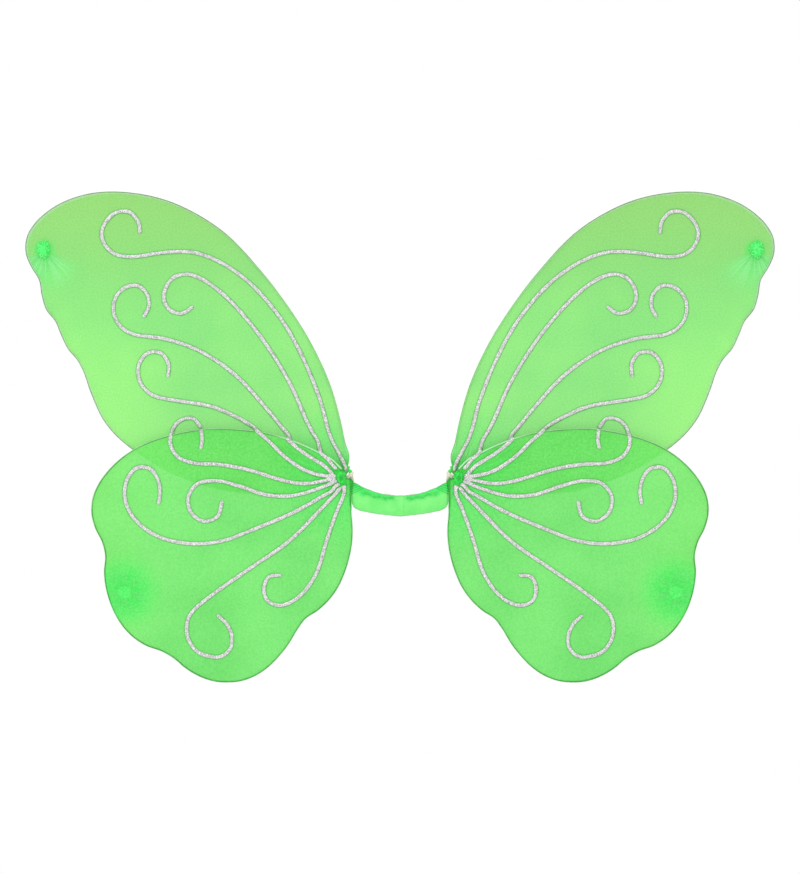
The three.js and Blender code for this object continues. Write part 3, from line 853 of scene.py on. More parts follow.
def glitter_glue():
    finish = Finish("glitter_glue", Coat_Weight=0.2, Coat_Roughness=0.3)
    cells = {"Vector": finish.place, "Scale": 1500.0}
    flake = finish.node("ShaderNodeTexVoronoi", {}, cells, out="Color")
    edge = finish.node("ShaderNodeTexVoronoi", {}, cells, out="Distance")
    bright, hue, turn = finish.split(flake)
    coarse = finish.noise(620, detail=3, rough=0.7)
    tone = finish.between(bright * 0.6 + coarse * 0.4, 0.22, 0.66)
    colour = finish.mix(tone, linear(156, 148, 154), linear(238, 236, 236))
    colour = finish.mix(finish.between(hue, 0.66, 0.95) * 0.3, colour, linear(226, 192, 218))
    colour = finish.mix((1 - finish.between(hue, 0.05, 0.3)) * 0.4, colour, linear(178, 226, 176))
    rise = finish.attribute("rise")
    # Low down the glue takes the soaked nylon's colour, which is darkened further by painted contact
    # shadow beside the bead.
    colour = finish.mix(finish.between(rise, 0.16, 0.4), SOAKED_SHADED_NYLON, colour)
    shiny = finish.between(turn, 0.6, 0.65) * finish.between(rise, 0.2, 0.5)
    rough = 0.55 - shiny * 0.3
    bump = turn * 0.6 - edge * 0.5
    return finish.wear(colour, rough, bump, 0.25 * MM, 0.8, Metallic=shiny * 0.35)


glitter = glitter_glue()
print("glitter finish:", glitter.name)

# %% [markdown]
# The section is drawn once: half a round on a thin strip, which is the nylon that the glue
# has soaked, darkened with painted contact shadow beside the bead. Every line uses it, drawn
# to a point at its ends and a little thick and thin.

# %% Beads
BEAD_HALF = 1.62 * MM
BEAD_FLANGE = 2.15 * MM  # half of the strip of nylon that the glue has soaked
FLANGE_HIGH = 0.22 * MM
BEAD_HIGH = 1.05 * MM
BEAD_FOOT = 0.72 * MM  # from the middle of a wing to the underside of the glue
BEAD_PITCH = 0.9 * MM
SECTION_STEPS = 8
TIP_BLUNT = 0.25 * MM
SWELL = 0.07  # how much thicker or thinner a bead gets along its way
SWELL_STEPS = 6
GLUE_LUMPS = [(1.6 * MM, 0.34 * MM), (0.5 * MM, 0.2 * MM)]  # size and depth


def bead_section():
    """A half-round section, as a flat closed curve for a bevel."""
    data = bpy.data.curves.new("bead_section", "CURVE")
    data.dimensions = "2D"
    turns = [math.pi * i / SECTION_STEPS for i in range(SECTION_STEPS + 1)]
    bead = [
        (BEAD_HALF * math.cos(turn), FLANGE_HIGH + BEAD_HIGH * math.sin(turn) ** 0.8)
        for turn in turns
    ]
    foot = [(-BEAD_FLANGE, FLANGE_HIGH * 0.8), (-BEAD_FLANGE, 0)]
    foot += [(BEAD_FLANGE, 0), (BEAD_FLANGE, FLANGE_HIGH * 0.8)]
    spline = data.splines.new("POLY")
    spline.points.add(len(bead + foot) - 1)
    for point, (across, high) in zip(spline.points, bead + foot):
        point.co = (across, high, 0, 1)
    spline.use_cyclic_u = True
    section = bpy.data.objects.new("bead_section", data)
    bpy.context.scene.collection.objects.link(section)
    return section


section = bead_section()


def squeezed_line(name, points, foot, draw):
    """One bead along points, which are [x, z] in metres, with its underside at y = foot."""
    pick()
    bpy.ops.curve.primitive_nurbs_path_add()
    drawn = pick(bpy.context.object)
    drawn.name = name
    data = drawn.data
    data.dimensions = "2D"
    data.fill_mode = "NONE"
    data.bevel_mode = "OBJECT"
    data.bevel_object = section
    data.use_fill_caps = True
    data.splines.clear()
    spline = data.splines.new("POLY")
    spline.points.add(len(points) - 1)
    step = np.linalg.norm(points[1] - points[0])
    knots = draw.uniform(-1, 1, len(points) // SWELL_STEPS + 2)
    at = np.arange(len(points)) / SWELL_STEPS
    swell = 1 + SWELL * np.interp(at, np.arange(len(knots)), knots)
    for i, point in enumerate(spline.points):
        end = min(i, len(points) - 1 - i) * step + TIP_BLUNT
        tip = math.sqrt(1 - (1 - min(1.0, end / BEAD_HALF)) ** 2)
        point.co = (points[i][0], points[i][1], 0, 1)
        point.radius = tip * swell[i]
    drawn.location = (0, foot, 0)
    drawn.rotation_euler = (math.pi / 2, 0, 0)
    bpy.ops.object.convert(target="MESH")
    return settle(bpy.context.object)


def dome(name, centre, radius, height, foot):
    """A blob of glue where lines run together."""
    pick()
    bpy.ops.mesh.primitive_uv_sphere_add(segments=40, ring_count=20, radius=radius)
    blob = bpy.context.object
    blob.name = name
    blob.scale = (1, height / radius, 0.9)
    blob.location = (centre[0], foot, centre[1])
    settle(blob)
    bpy.ops.object.mode_set(mode="EDIT")
    bpy.ops.mesh.select_all(action="SELECT")
    bpy.ops.mesh.bisect(
        plane_co=(0, foot, 0), plane_no=(0, 1, 0), use_fill=True, clear_outer=True
    )
    bpy.ops.object.mode_set(mode="OBJECT")
    return blob


def lengthened(line, key, side):
    """A solid's middle line with the glue's run-on ends, cut into even steps on the wing."""
    for u, z in RUN_ON.get(key, []):
        point = np.array([side * u * MM, line[0][1], z * MM])
        at_start = np.linalg.norm(point - line[0]) < np.linalg.norm(point - line[-1])
        line = np.vstack([point, line]) if at_start else np.vstack([line, point])
    return even_steps(line, BEAD_PITCH)[:, (0, 2)]


def dried(name, parts, wing, node, foot):
    piece = join(name, parts) if len(parts) > 1 else parts[0]
    piece.name = piece.data.name = name
    rise = piece.data.attributes.new("rise", "FLOAT", "POINT")
    rise.data.foreach_set("value", [(foot - v.co.y) / MM for v in piece.data.vertices])
    for size, depth in GLUE_LUMPS:
        lumpy(piece, size, depth)
    pick(piece)
    bpy.ops.object.shade_smooth()
    return finish_piece(piece, f"{wing}_wing", glitter, "glitter", node)

# %% [markdown]
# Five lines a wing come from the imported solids. The four that run together in a blob at the
# root are drawn from their own points and joined, because the dried glue is one piece.

# %% Glitter lines on the wings
FAN_LINES = [
    [(105.4, 63.2), (99.6, 57.6), (90.4, 50.2), (78.8, 42.8), (70.5, 37.6), (62.4, 29.6)],
    [
        (134.2, 71), (121, 59.5), (109, 47.6), (98.7, 39.6), (90, 34.2), (81, 30.6), (72, 28.6),
        (63, 27.2),
    ],
    [
        (212.9, 68), (213.2, 57), (206, 45.6), (195.5, 41), (167.6, 38.7), (139.7, 33.5),
        (120, 27.3), (108, 23.8), (93.6, 21.2), (81.8, 21.5), (73, 23.2), (64, 25),
    ],
    [
        (165.2, 4.9), (170, -10), (182, -14), (194, -6), (196.8, 8), (188, 20.8), (172, 23.6),
        (149.6, 18.7), (125.9, 10.9), (114.4, 9.4), (102.5, 9.4), (90.7, 11.6), (81.8, 14.3),
        (72.8, 17.4), (65.4, 20.6), (58.6, 23.4),
    ],
]
BLOB = (63.6, 26.4, 4.6, 1.9)  # across, up, radius and height in mm
SMALL_BLOB = (52.2, 17.6, 2.3, 1.3)
GLUE_CAP_EDGE = 4.5 * MM  # longer than any edge in the end cap of a line's solid
GLUE_SEED = 21
# The glue runs on past a solid's end, over the gathers or under the next wing: [x, z] in mm.
RUN_ON = {
    "upper_1": [(51.2, 36), (50.2, 32.6)],
    "upper_2": [(75.4, 55), (73.4, 49.6)],
    "upper_3": [(102.4, 61.6), (99.4, 57.4)],
    "upper_4": [(133, 70.2), (129.4, 67)],
    "upper_5": [(212.8, 65.6), (212.9, 62.6)],
    "lower_2": [(59, 34.4), (75, 52.4)],
    "lower_6": [(184.6, 71.4)],
    "lower_8": [(60.4, 18), (56.2, 21)],
    "lower_9": [(57.6, 14.4), (55, 17.2)],
    "lower_10": [(51.7, 14), (52, 17.2)],
}
LINE_NODES = {"upper": "1 2 3 4 5".split(), "lower": "2 6 8 9 10".split()}


def blob_of_glue(name, blob, side, foot):
    u, z, radius, height = (c * MM for c in blob)
    return dome(name, (side * u, z), radius, height, foot)


beads = 0
for name, side in SIDES.items():
    draw = np.random.default_rng(GLUE_SEED)
    for part, numbers in LINE_NODES.items():
        wing = f"{name}_{part}"
        foot = wing_y[wing] - BEAD_FOOT
        for number in numbers:
            node = f"{wing}_glitter_{number}"
            line = lengthened(middle_line(node, GLUE_CAP_EDGE), f"{part}_{number}", side)
            strips = [squeezed_line(node + "_line", line, foot, draw)]
            if number == "10":
                strips.append(blob_of_glue("small_blob", SMALL_BLOB, side, foot))
            dried(f"{wing}_glue_{number}", strips, wing, node, foot)
            beads += 1
    wing = f"{name}_lower"
    strips = []
    for i, route in enumerate(FAN_LINES):
        points = np.array([(side * u, 0, z) for u, z in route]) * MM
        line = even_steps(points, BEAD_PITCH)[:, (0, 2)]
        strips.append(squeezed_line(f"fan_line_{i}", line, foot, draw))
    strips.append(blob_of_glue("blob", BLOB, side, foot))
    dried(f"{wing}_glue_fan", strips, wing, f"{wing}_glitter_fan", foot)
    beads += 1
bpy.data.objects.remove(section)
print("glitter lines:", beads)

# %% [markdown]
# ## Tied ends
# Where a stocking ends, it is bunched up, wound with thread and trimmed, which leaves a
# small rosette of crumpled nylon. Three ruffled discs, one on the other, with a crumpled
# middle look like that. The thread is a few tight rings at the neck.

# %% Gathered nylon and thread materials


def gathered_nylon(name, deep, light):
    finish = Finish(name, Sheen_Weight=0.15)
    creases = finish.noise(620, detail=5, rough=0.7)
    knit = finish.noise(4200, detail=1)
    # Darker in the low creases of the crumple: painted shade.
    colour = finish.mix(finish.between(creases, 0.34, 0.56), deep, light)
    colour = finish.mix(finish.between(knit, 0.45, 0.7) * 0.14, colour, linear(160, 255, 168))
    return finish.wear(colour, 0.7 - 0.1 * knit, creases * 0.6 + knit * 0.2, 0.3 * MM, 0.6)


def waxed_thread():
    finish = Finish("waxed_thread", Coat_Weight=0.15)
    wave_settings = {"wave_type": "BANDS", "bands_direction": "DIAGONAL"}
    inputs = {"Vector": finish.place, "Scale": 900.0, "Distortion": 1.5}
    ply = finish.node("ShaderNodeTexWave", wave_settings, inputs, out="Fac")
    fuzz = finish.noise(2600, detail=3)
    colour = finish.mix(ply, linear(8, 140, 40), linear(34, 208, 72))
    colour = finish.mix(fuzz * 0.3, colour, linear(110, 220, 120))
    return finish.wear(colour, 0.6, ply + fuzz * 0.3, 0.1 * MM, 0.7)


trimmed_cloth = gathered_nylon("trimmed_nylon", linear(30, 214, 74), linear(100, 255, 128))
knotted_cloth = gathered_nylon("knotted_nylon", linear(0, 176, 34), linear(26, 240, 76))
thread = waxed_thread()
print("tied end finishes:", trimmed_cloth.name, knotted_cloth.name, thread.name)

# %% [markdown]
# A ruffle is a disc whose edge is longer than its radius asks for, so it has to wave. Rings
# of points give it a slow and a quick wave that grow towards the edge, and a thin wall. The
# trimmed cloth hangs a little aside of the thread.

# %% Rosettes of trimmed nylon
DISC_ROWS = 9
DISC_COLUMNS = 96
DISC_WIDE = 0.82  # the trimmed cloth is a little taller than wide
DISC_TALL = 1.07
DISC_WALL = 0.18 * MM
RUFFLE_HIGH = 0.24  # of the radius
RUFFLES = [(7.3, 0.3, 9), (6.4, 0.9, 7), (4.6, 1.5, 5)]  # radius and rise in mm, and waves
RUFFLE_STEP = 0.5 * MM
RUFFLE_BASE = 2.0 * MM  # from the middle of the wing
TRIM_ASIDE = 0.9 * MM
TRIM_UP = 1.0 * MM
HEART_OUT = 1.2 * MM
HEART_HALF = (3.2 * MM, 1.7 * MM, 3.2 * MM)
HEART_GRAIN = 1.7 * MM
HEART_CRUMPLE = 1.5 * MM
NECK_R = 2.1 * MM
NECK_FROM = 0.8 * MM
NECK_TO = 2.2 * MM
TIP_SEED = {"upper": 5, "lower": 6}


def ruffled_disc(name, centre, facing, radius, rise, waves, draw):
    """A disc whose edge is too long for it, so it waves. facing is the way it opens."""
    phases = draw.uniform(0, 2 * math.pi, 4)
    turns = np.linspace(0, 2 * math.pi, DISC_COLUMNS, endpoint=False)
    edge = 1 + 0.10 * np.sin(3 * turns + phases[0]) + 0.07 * np.sin(7 * turns + phases[1])
    quick_waves = math.floor(1.7 * waves)
    ruffle = 0.6 * np.sin(waves * turns + phases[2]) + 0.4 * np.sin(quick_waves * turns + phases[3])
    points = []
    for i in range(DISC_ROWS):
        share = (i + 1) / DISC_ROWS
        lift = rise * share**0.7 + RUFFLE_HIGH * radius * share**1.4 * ruffle
        pinch = 1 + 0.06 * np.sin(2 * waves * turns + 3 * share)
        reach = radius * share * edge * pinch
        x = centre[0] + DISC_WIDE * reach * np.cos(turns)
        z = centre[2] + DISC_TALL * reach * np.sin(turns)
        points.append(np.stack([x, centre[1] + facing * lift, z], 1))
    faces = [tuple(range(DISC_COLUMNS))] + grid_faces(DISC_ROWS, DISC_COLUMNS)
    piece = mesh_piece(name, np.concatenate(points), faces)
    wall = piece.modifiers.new("wall", "SOLIDIFY")
    wall.thickness = DISC_WALL
    wall.offset = 0
    return settle(piece)


def crumpled_ball(name, centre, size, grain, depth):
    pick()
    bpy.ops.mesh.primitive_ico_sphere_add(subdivisions=6, radius=1)
    ball = bpy.context.object
    ball.name = name
    ball.scale = size
    ball.location = centre
    settle(ball)
    lumpy(ball, grain, depth)
    lumpy(ball, grain * 0.35, depth * 0.45)
    pick(ball)
    bpy.ops.object.shade_smooth()
    return ball


def thread_rings(name, centre, radius, low, high, thickness=0.32 * MM):
    """Thread wound round a neck that points along Y."""
    count = max(2, round((high - low) / (2 * thickness)))
    steps = 28 * count
    points = []
    for i in range(steps + 1):
        turn = 2 * math.pi * count * i / steps
        y = low + (high - low) * i / steps
        x, z = centre[0] + radius * math.cos(turn), centre[1] + radius * math.sin(turn)
        points.append((x, y, z))
    return tube(name, points, thickness, sides=7, uv_turn=2 * MM)


def tied_end(wing, side, seed):
    tuft = middle_of(f"{wing}_tip_tuft")
    facing = -1 if tuft.y < wing_y[wing] else 1
    trim_x, trim_z = tuft.x + side * TRIM_ASIDE, tuft.z + TRIM_UP
    draw = np.random.default_rng(seed)
    base = wing_y[wing] + facing * RUFFLE_BASE
    parts = []
    for i, (radius, rise, waves) in enumerate(RUFFLES):
        spot = (trim_x, base + facing * RUFFLE_STEP * i, trim_z)
        parts.append(
            ruffled_disc(f"ruffle_{i}", spot, facing, radius * MM, rise * MM, waves, draw)
        )
    heart = (trim_x, base + facing * HEART_OUT, trim_z)
    parts.append(crumpled_ball("heart", heart, HEART_HALF, HEART_GRAIN, HEART_CRUMPLE))
    rosette = join(f"{wing}_rosette", parts)
    finish_piece(rosette, f"{wing}_wing", trimmed_cloth, "gathered_nylon", f"{wing}_tip_tuft")
    first, last = (wing_y[wing] + facing * out for out in (NECK_FROM, NECK_TO))
    rings = thread_rings(f"{wing}_tip_binding", (tuft.x, tuft.z), NECK_R, first, last)
    finish_piece(rings, f"{wing}_wing", thread, "thread", f"{wing}_tip_thread")
    return rosette


for name, side in SIDES.items():
    for part in PARTS:
        rosette = tied_end(f"{name}_{part}", side, TIP_SEED[part])
        print(rosette.name, len(rosette.data.polygons), "faces")

# %% [markdown]
# ## Roots
# At the root each stocking is gathered round the pivot, bound with thread and trimmed. The
# knot is a hard crumple of many layers, darker than the rest. A lashing of waxed thread goes
# through both knots and round the upright wire.

# %% Root knots
# Each lobe of crumpled cloth, in mm from the pivot: across, out, up, and its half sizes.
KNOT_LOBES = [
    (0, 0, 0, (4.2, 1.7, 6.0)),
    (0.6, 3.2, 2.2, (2.6, 1.6, 3.0)),
    (-0.4, 3.4, -1.4, (3.0, 1.6, 3.2)),
    (1.4, 3.0, -0.2, (2.2, 1.4, 3.6)),
]
KNOT_GRAIN = 2.0 * MM
KNOT_CRUMPLE = {"upper": 1.4 * MM, "lower": 1.7 * MM}
BINDING_R = 3.0 * MM
BINDING_FROM = 1.5 * MM  # from the middle of the wing
BINDING_LONG = 1.3 * MM
CAP_HALF = (1.7 * MM, 1.6 * MM, 1.7 * MM)
CAP_UNDER = 0.7 * MM  # the scrap's middle is under the wire's end by this
CAP_GRAIN = 1.0 * MM
CAP_CRUMPLE = 0.6 * MM


def root_knot(wing, side, pivot):
    facing = 1 if middle_of(f"{wing}_root_thread").y > wing_y[wing] else -1
    crumple = KNOT_CRUMPLE[wing.split("_")[1]]
    x, z = side * pivot[0], pivot[1]
    parts = []
    for across, out, up, size in KNOT_LOBES:
        spot = (x + side * across * MM, wing_y[wing] + facing * out * MM, z + up * MM)
        half_size = tuple(s * MM for s in size)
        parts.append(crumpled_ball("lobe", spot, half_size, KNOT_GRAIN, crumple))
    knot = join(f"{wing}_root_gather", parts)
    finish_piece(knot, f"{wing}_wing", knotted_cloth, "gathered_nylon")
    first = wing_y[wing] + facing * BINDING_FROM
    last = first + facing * BINDING_LONG
    rings = thread_rings(f"{wing}_root_binding", (x, z), BINDING_R, first, last)
    finish_piece(rings, f"{wing}_wing", thread, "thread", f"{wing}_root_thread")
    return knot


def wire_cap(name):
    """A scrap of nylon over the cut end of the upright wire."""
    wrap = middle_of(f"{name}_elastic_wrap")
    _, wire_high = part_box("bridge_wire")
    spot = (wrap.x, wrap.y, wire_high.z - CAP_UNDER)
    cap = crumpled_ball(f"{name}_wire_cap", spot, CAP_HALF, CAP_GRAIN, CAP_CRUMPLE)
    return finish_piece(cap, "band", knotted_cloth, "gathered_nylon")


# %% [markdown]
# The lashing is one long thread. It is wound round the upright wire, goes out to the pivot
# and back a few times, and ends in a stitch through both knots, with a star of short turns
# over each end of the stitch. Each of these is a short tube, and all are joined.

# %% Root lashings
LASH_R = 0.46 * MM
RINGS = 4
RING_R = 1.9 * MM
RING_FROM_Z = 22.1 * MM
RING_STEP = 0.9 * MM
RING_POINTS = 30
STRANDS = 5
STRAND_STEP = 0.55 * MM
STRAND_OUT = 1.8 * MM  # from the middle of the upright wire
STRAND_SPREAD = 1.2 * MM
STRAND_Z = 23.5 * MM
STRAND_SAG = 0.4 * MM
STITCH_R = 1.1 * MM
STITCH_IN = 0.6 * MM  # from the solid's front and rear
STITCH_POINTS = 24
STAR_IN = 0.55 * MM
STAR_R = 0.4 * MM
STAR_REACH = 2.3 * MM
STAR_RISE = 0.35 * MM
STAR_TURN = 0.3


def lashing_rings(hinge):
    rings = []
    for i in range(RINGS):
        ring = []
        for k in range(RING_POINTS):
            turn = 2 * math.pi * k / RING_POINTS
            x, y = hinge.x + RING_R * math.cos(turn), hinge.y + RING_R * math.sin(turn)
            ring.append((x, y, RING_FROM_Z + RING_STEP * i))
        rings.append(tube(f"ring_{i}", ring, LASH_R, sides=8, closed=True))
    return rings


def lashing_strands(side, hinge, pivot):
    strands = []
    for i in range(STRANDS):
        lift = (i - STRANDS // 2) * STRAND_STEP
        spread = (i % 2 - 0.5) * STRAND_SPREAD
        start = np.array([hinge.x + side * STRAND_OUT, hinge.y + spread, STRAND_Z + lift])
        end = np.array([side * pivot[0], hinge.y - spread, pivot[1] + lift])
        middle = (start + end) / 2 - (0, 0, STRAND_SAG)
        line = even_steps([start, middle, end], 0.5 * MM)
        strands.append(tube(f"strand_{i}", line, LASH_R, sides=8))
    return strands


def lashing_stitch(node, side, pivot):
    low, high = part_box(node)
    x, z = side * pivot[0], pivot[1]
    run = np.linspace(low.y + STITCH_IN, high.y - STITCH_IN, STITCH_POINTS)
    parts = [tube("stitch", [(x, y, z) for y in run], STITCH_R, sides=12)]
    for y, outwards in ((low.y + STAR_IN, -1), (high.y - STAR_IN, 1)):
        spot = np.array([x, y, z])
        top = spot + (0, outwards * STAR_RISE, 0)
        for i in range(3):
            turn = math.pi * i / 3 + STAR_TURN
            across = np.array([math.cos(turn), 0, math.sin(turn)]) * STAR_REACH
            line = even_steps([spot - across, top, spot + across], 0.3 * MM)
            parts.append(tube(f"cross_{i}", line, STAR_R, sides=8))
    return parts


def root_lashing(name, side):
    node = f"{name}_root_lashing"
    pivot = PIVOT[name]
    hinge = middle_of(f"{name}_elastic_wrap")
    parts = lashing_rings(hinge) + lashing_strands(side, hinge, pivot)
    lashing = join(f"{name}_lashing", parts + lashing_stitch(node, side, pivot))
    return finish_piece(lashing, f"{name}_root", thread, "thread", node)


for name, side in SIDES.items():
    wire_cap(name)
    for part in PARTS:
        knot = root_knot(f"{name}_{part}", side, PIVOT[name])
        print(knot.name, len(knot.data.polygons), "faces")
    print(root_lashing(name, side).name)

# %% [markdown]
# ## Padded band
# The band is a tube of the same knit, filled with wadding, with a seam just off the middle.
# Its ends are pulled up to the roots, which bunches the upper corners into diagonal pleats
# and leaves a long fold under the top edge. Each half is a closed, crowned form. The outline
# gives its height at each place, the section is a soft oval that is flat at the back, and
# the folds are pressed into the surface.

# %% Band material


def band_cloth():
    finish = Finish("band_cloth", Sheen_Weight=0.2, Specular_IOR_Level=0.3)
    x, _, z = finish.split(finish.place)
    ribs = finish.math("SINE", x * 7200.0) * finish.math("SINE", z * 5200.0) * 0.5 + 0.5
    grain = finish.noise(900, detail=3, rough=0.7)
    broad = finish.noise(60, detail=3)
    crumple = finish.between(finish.noise(330, detail=4, rough=0.65), 0.36, 0.6)
    fold = finish.attribute("fold")
    bunched = finish.attribute("bunched")
    top = finish.attribute("top")
    hem = finish.attribute("hem")
    tone = finish.between(broad, 0.35, 0.65)
    colour = finish.mix(tone, linear(108, 232, 110), linear(124, 239, 122))
    colour = finish.mix(top, colour, linear(34, 234, 92))
    # Painted shade in the bunched strip under the top edge, broken up by the crumple.
    colour = finish.mix(bunched * (crumple * 0.6 + 0.4), colour, linear(14, 200, 70))
    # Painted shade in the pleats, and a little along the seam.
    colour = finish.mix(fold * 0.75, colour, linear(10, 168, 52))
    # Painted shade along the band's top and bottom edges, where the surface turns away.
    colour = finish.mix(hem * 0.65, colour, linear(60, 150, 66))
    colour = finish.mix(finish.between(grain, 0.35, 0.75) * 0.16, colour, linear(170, 255, 160))
    bump = ribs * 0.3 + grain * 0.5 + crumple * (bunched * 2.5 + 0.25)
    return finish.wear(colour, 0.7 - ribs * 0.12, bump, 0.16 * MM, 0.5)


cloth = band_cloth()
print("band finish:", cloth.name)

# %% [markdown]
# The outline is read at a few places and smoothed. Three things shape the surface: a bunched
# strip under the top edge, a fan of sharp pleats where the corner is pulled up to the root,
# and the seam. Each is a distance from a line, turned into a depth by a bell curve, and the
# same numbers are kept as attributes, so that painted shade in the colour follows the folds.

# %% Band outline and folds
TOP_EDGE = [
    (0, 9.8), (4, 9.8), (13.3, 10.7), (18, 11.7), (23.4, 13.2), (29.4, 15.6), (34.7, 17.6),
    (38, 19.7), (41.3, 21.5), (44.2, 22), (45.6, 20),
]
BOTTOM_EDGE = [
    (0, -9.8), (3.2, -9.6), (12, -8.6), (20.5, -7.7), (30, -6), (38.3, -4.2), (43, -1.4),
    (45, 2), (45.6, 7),
]
BAND_END = 45.6
SEAM_X = 3.6
SEAM_WIDTH = 0.5
BUNCHED_LINE = [(3, 7.0), (11.6, 7.4), (20.5, 8.6), (29.4, 11), (36, 12.4)]
BUNCHED_WIDTH = 2.4
PLEATS = 4
PLEAT_FOOT = 10.9  # height of the lowest pleat at the band's end
PLEAT_STEP = 2.4
PLEAT_SLOPE = 0.5
PLEAT_WIDTH = 0.46
PLEAT_FROM = 31.5
FOLD_DEEP = 0.75
BAND_DEEP = 6.6
END_THINNER = 0.45  # the pulled end is thinner by this share
END_FADE = 6
END_ROUND = 2.2
FLATTEST_Y = -0.05  # the rear of the band is pressed flat here
CORNER = 0.86  # the section's power: 1 is an ellipse, less is squarer
BAND_MIDDLE_Y = -7.0
BAND_COLUMNS = 230
BAND_AROUND = 130


def groove(distance, width):
    return np.exp(-((distance / width) ** 2))


def smoothed(values, reach=15):
    bell = np.hanning(reach) / np.hanning(reach).sum()
    return np.convolve(np.pad(values, reach // 2, "edge"), bell, "valid")


def pleat_lines(u, z):
    """How deep in a pleat each point is: sharp lines that fall towards the band's end."""
    depth = np.zeros_like(z)
    for k in range(PLEATS):
        line = PLEAT_FOOT + PLEAT_STEP * k + (PLEAT_SLOPE - 0.05 * k) * (BAND_END - u)
        along = np.clip((u - PLEAT_FROM - 0.6 * k) / 3, 0, 1)
        depth += along * groove(z - line, PLEAT_WIDTH)
    return depth


def band_row(x, top, bottom, around, phases):
    """One section of the band in mm: its points and how each is folded."""
    u = abs(x)
    middle, half = (top + bottom) / 2, (top - bottom) / 2
    to_end = max(0.0, BAND_END - u)
    deep = BAND_DEEP * (1 - END_THINNER * math.exp(-to_end / END_FADE))
    deep *= min(1, math.sqrt(to_end / END_ROUND + 0.12))
    c, s = np.cos(around), np.sin(around)
    y = -deep * np.sign(c) * np.abs(c) ** CORNER
    z = half * np.sign(s) * np.abs(s) ** CORNER
    front = np.clip(c * 4, 0, 1)

    bunched_z = np.interp(u, *zip(*BUNCHED_LINE)) + 0.5 * math.sin(x * 0.55 + phases[0])
    along = np.clip((u - 3) / 4, 0, 1) * np.clip((38 - u) / 5, 0, 1)
    bunched = along * groove(middle + z - bunched_z, BUNCHED_WIDTH) * front
    pleats = pleat_lines(u, middle + z) * front
    seam = groove(x - SEAM_X, SEAM_WIDTH) * front
    ripple = np.sin(x * 1.9 + 2.2 * (middle + z) + phases[1]) * bunched
    wrinkles = 0.14 * np.sin(x * 0.9 + 3 * s + phases[2]) + 0.1 * np.sin(x * 1.7 - 5 * s + phases[3])
    depth = pleats + 0.35 * bunched + 0.3 * ripple + 0.25 * seam - 0.6 * wrinkles
    press = 1 - FOLD_DEEP * depth / max(half, deep)
    points = np.stack([np.full_like(around, x), y * press, middle + z * press], 1)
    points[:, 1] = np.minimum(points[:, 1] + BAND_MIDDLE_Y, FLATTEST_Y)

    fall = np.interp(u, [0, 30, 34, BAND_END], [3.2, 4.0, 9, 11])
    shades = {
        "fold": np.clip(pleats + 0.22 * seam, 0, 1),
        "bunched": bunched,
        "top": np.clip(1 - (half - z) / fall, 0, 1) ** 0.5 * np.clip((u - 3) / 6, 0, 1) * front,
        # "hem" is painted shade along the top and bottom edges of the section.
        "hem": np.clip(np.abs(s) * 7 - 6, 0, 1),
    }
    return points * MM, shades


# %% [markdown]
# The band is made in two halves that meet at the seam.

# %% Band halves
END_DOME = 0.3 * MM
BAND_SEED = 31


def band_half(name, start, end):
    """The padded band from x = start to x = end, in mm."""
    count = int(abs(end - start) / BAND_END * BAND_COLUMNS)
    xs = np.linspace(start, end, count)
    around = np.linspace(0, 2 * math.pi, BAND_AROUND, endpoint=False)
    tops = smoothed(np.interp(np.abs(xs), *zip(*TOP_EDGE)))
    bottoms = smoothed(np.interp(np.abs(xs), *zip(*BOTTOM_EDGE)))
    phases = np.random.default_rng(BAND_SEED).uniform(0, 2 * math.pi, 4)
    rows = [band_row(x, top, low, around, phases) for x, top, low in zip(xs, tops, bottoms)]
    points = np.concatenate([row for row, _ in rows])
    shades = {key: np.concatenate([shade[key] for _, shade in rows]) for key in rows[0][1]}
    faces = grid_faces(count, BAND_AROUND)
    # Both ends close on a middle point.
    for i in (0, count - 1):
        base = i * BAND_AROUND
        centre = points[base : base + BAND_AROUND].mean(0)
        centre[0] += END_DOME * (1 if i else -1) * np.sign(end - start)
        points = np.vstack([points, centre])
        shades = {key: np.append(values, 0.5) for key, values in shades.items()}
        for k in range(BAND_AROUND):
            faces.append((base + k, base + (k + 1) % BAND_AROUND, len(points) - 1))
    piece = mesh_piece(name, points, faces, None, shades)
    piece.data.materials.append(cloth)
    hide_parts("band_sleeve", "band_padding")
    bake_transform(piece)
    return piece


for name, side, start, end in [
    ("band_left_half", -1, SEAM_X + 0.02, -BAND_END),
    ("band_right_half", 1, SEAM_X - 0.02, BAND_END),
]:
    half = band_half(name, start, end)
    print(name, len(half.data.polygons), "faces")

# %% [markdown]
# ## Ties on the hanks
# Each hank is held by a narrow strip of white tape, closed on itself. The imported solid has
# the right shape, so it stays and gets the tape's weave.

# %% Tape


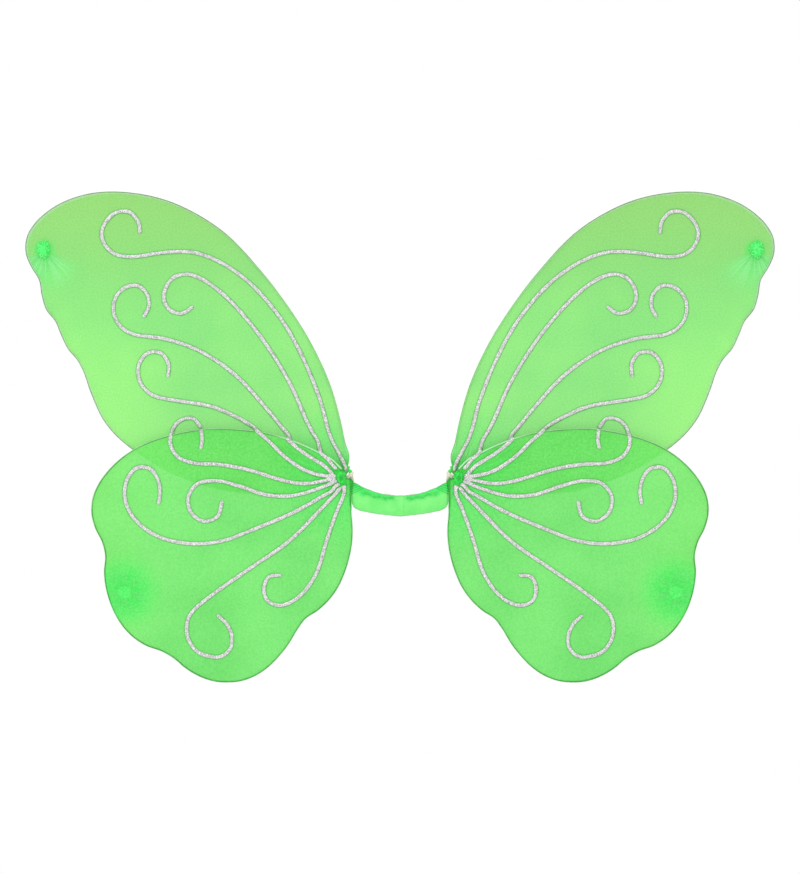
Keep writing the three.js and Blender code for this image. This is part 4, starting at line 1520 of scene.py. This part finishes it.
def woven_tape():
    finish = Finish("woven_tape", Sheen_Weight=0.2)
    x, y, z = finish.split(finish.place)
    warp = finish.math("SINE", x * 9000.0)
    weft = finish.math("SINE", (y + z) * 9000.0)
    weave = warp * weft * 0.5 + 0.5
    soil = finish.noise(300, detail=3)
    colour = finish.mix(soil, linear(225, 224, 214), linear(248, 248, 244))
    return finish.wear(colour, 0.8 - weave * 0.1, weave, 0.08 * MM, 0.6)


tape = woven_tape()
for name in SIDES:
    tie = nodes[f"{name}_hank_tie"]
    tie.data.materials.clear()
    tie.data.materials.append(tape)
print("tape on two ties")

# %% [markdown]
# ## Light and floor
# A white surround gives even light from all round, one large soft light from the upper left
# gives the beads and the band their form, and the floor is plain and pale.

# %% Light and floor
FLOOR_Z = -0.45
FLOOR_REAR = 0.6
FLOOR_SIZE = 5

world = bpy.data.worlds.new("studio")
world.use_nodes = True
bpy.context.scene.world = world
surround = world.node_tree.nodes["Background"]
surround.inputs["Color"].default_value = (1, 1, 1, 1)
surround.inputs["Strength"].default_value = 1.0
bpy.context.scene.view_settings.view_transform = "Standard"


def soft_light(name, place, size, power):
    data = bpy.data.lights.new(name, "AREA")
    data.shape = "DISK"
    data.size = size
    data.energy = power
    light = bpy.data.objects.new(name, data)
    light.location = place
    aim = -light.location.normalized()
    light.rotation_euler = aim.to_track_quat("-Z", "Y").to_euler()
    bpy.context.scene.collection.objects.link(light)


soft_light("key_light", (-1.1, -1.7, 1.5), 0.7, 9)
soft_light("rear_light", (0.9, 1.8, 1.2), 0.9, 7)

pick()
bpy.ops.mesh.primitive_grid_add(
    x_subdivisions=4,
    y_subdivisions=4,
    size=FLOOR_SIZE,
    location=(0, FLOOR_REAR - FLOOR_SIZE / 2, FLOOR_Z),
)
floor = settle(bpy.context.object)
floor.name = "floor"


def pale_floor():
    finish = Finish("pale_floor", Specular_IOR_Level=0.1)
    mottle = finish.noise(3, detail=2)
    colour = finish.mix(mottle, (0.93, 0.93, 0.93), (0.96, 0.96, 0.96))
    return finish.wear(colour, 0.9)


floor.data.materials.append(pale_floor())
print("floor at", FLOOR_Z)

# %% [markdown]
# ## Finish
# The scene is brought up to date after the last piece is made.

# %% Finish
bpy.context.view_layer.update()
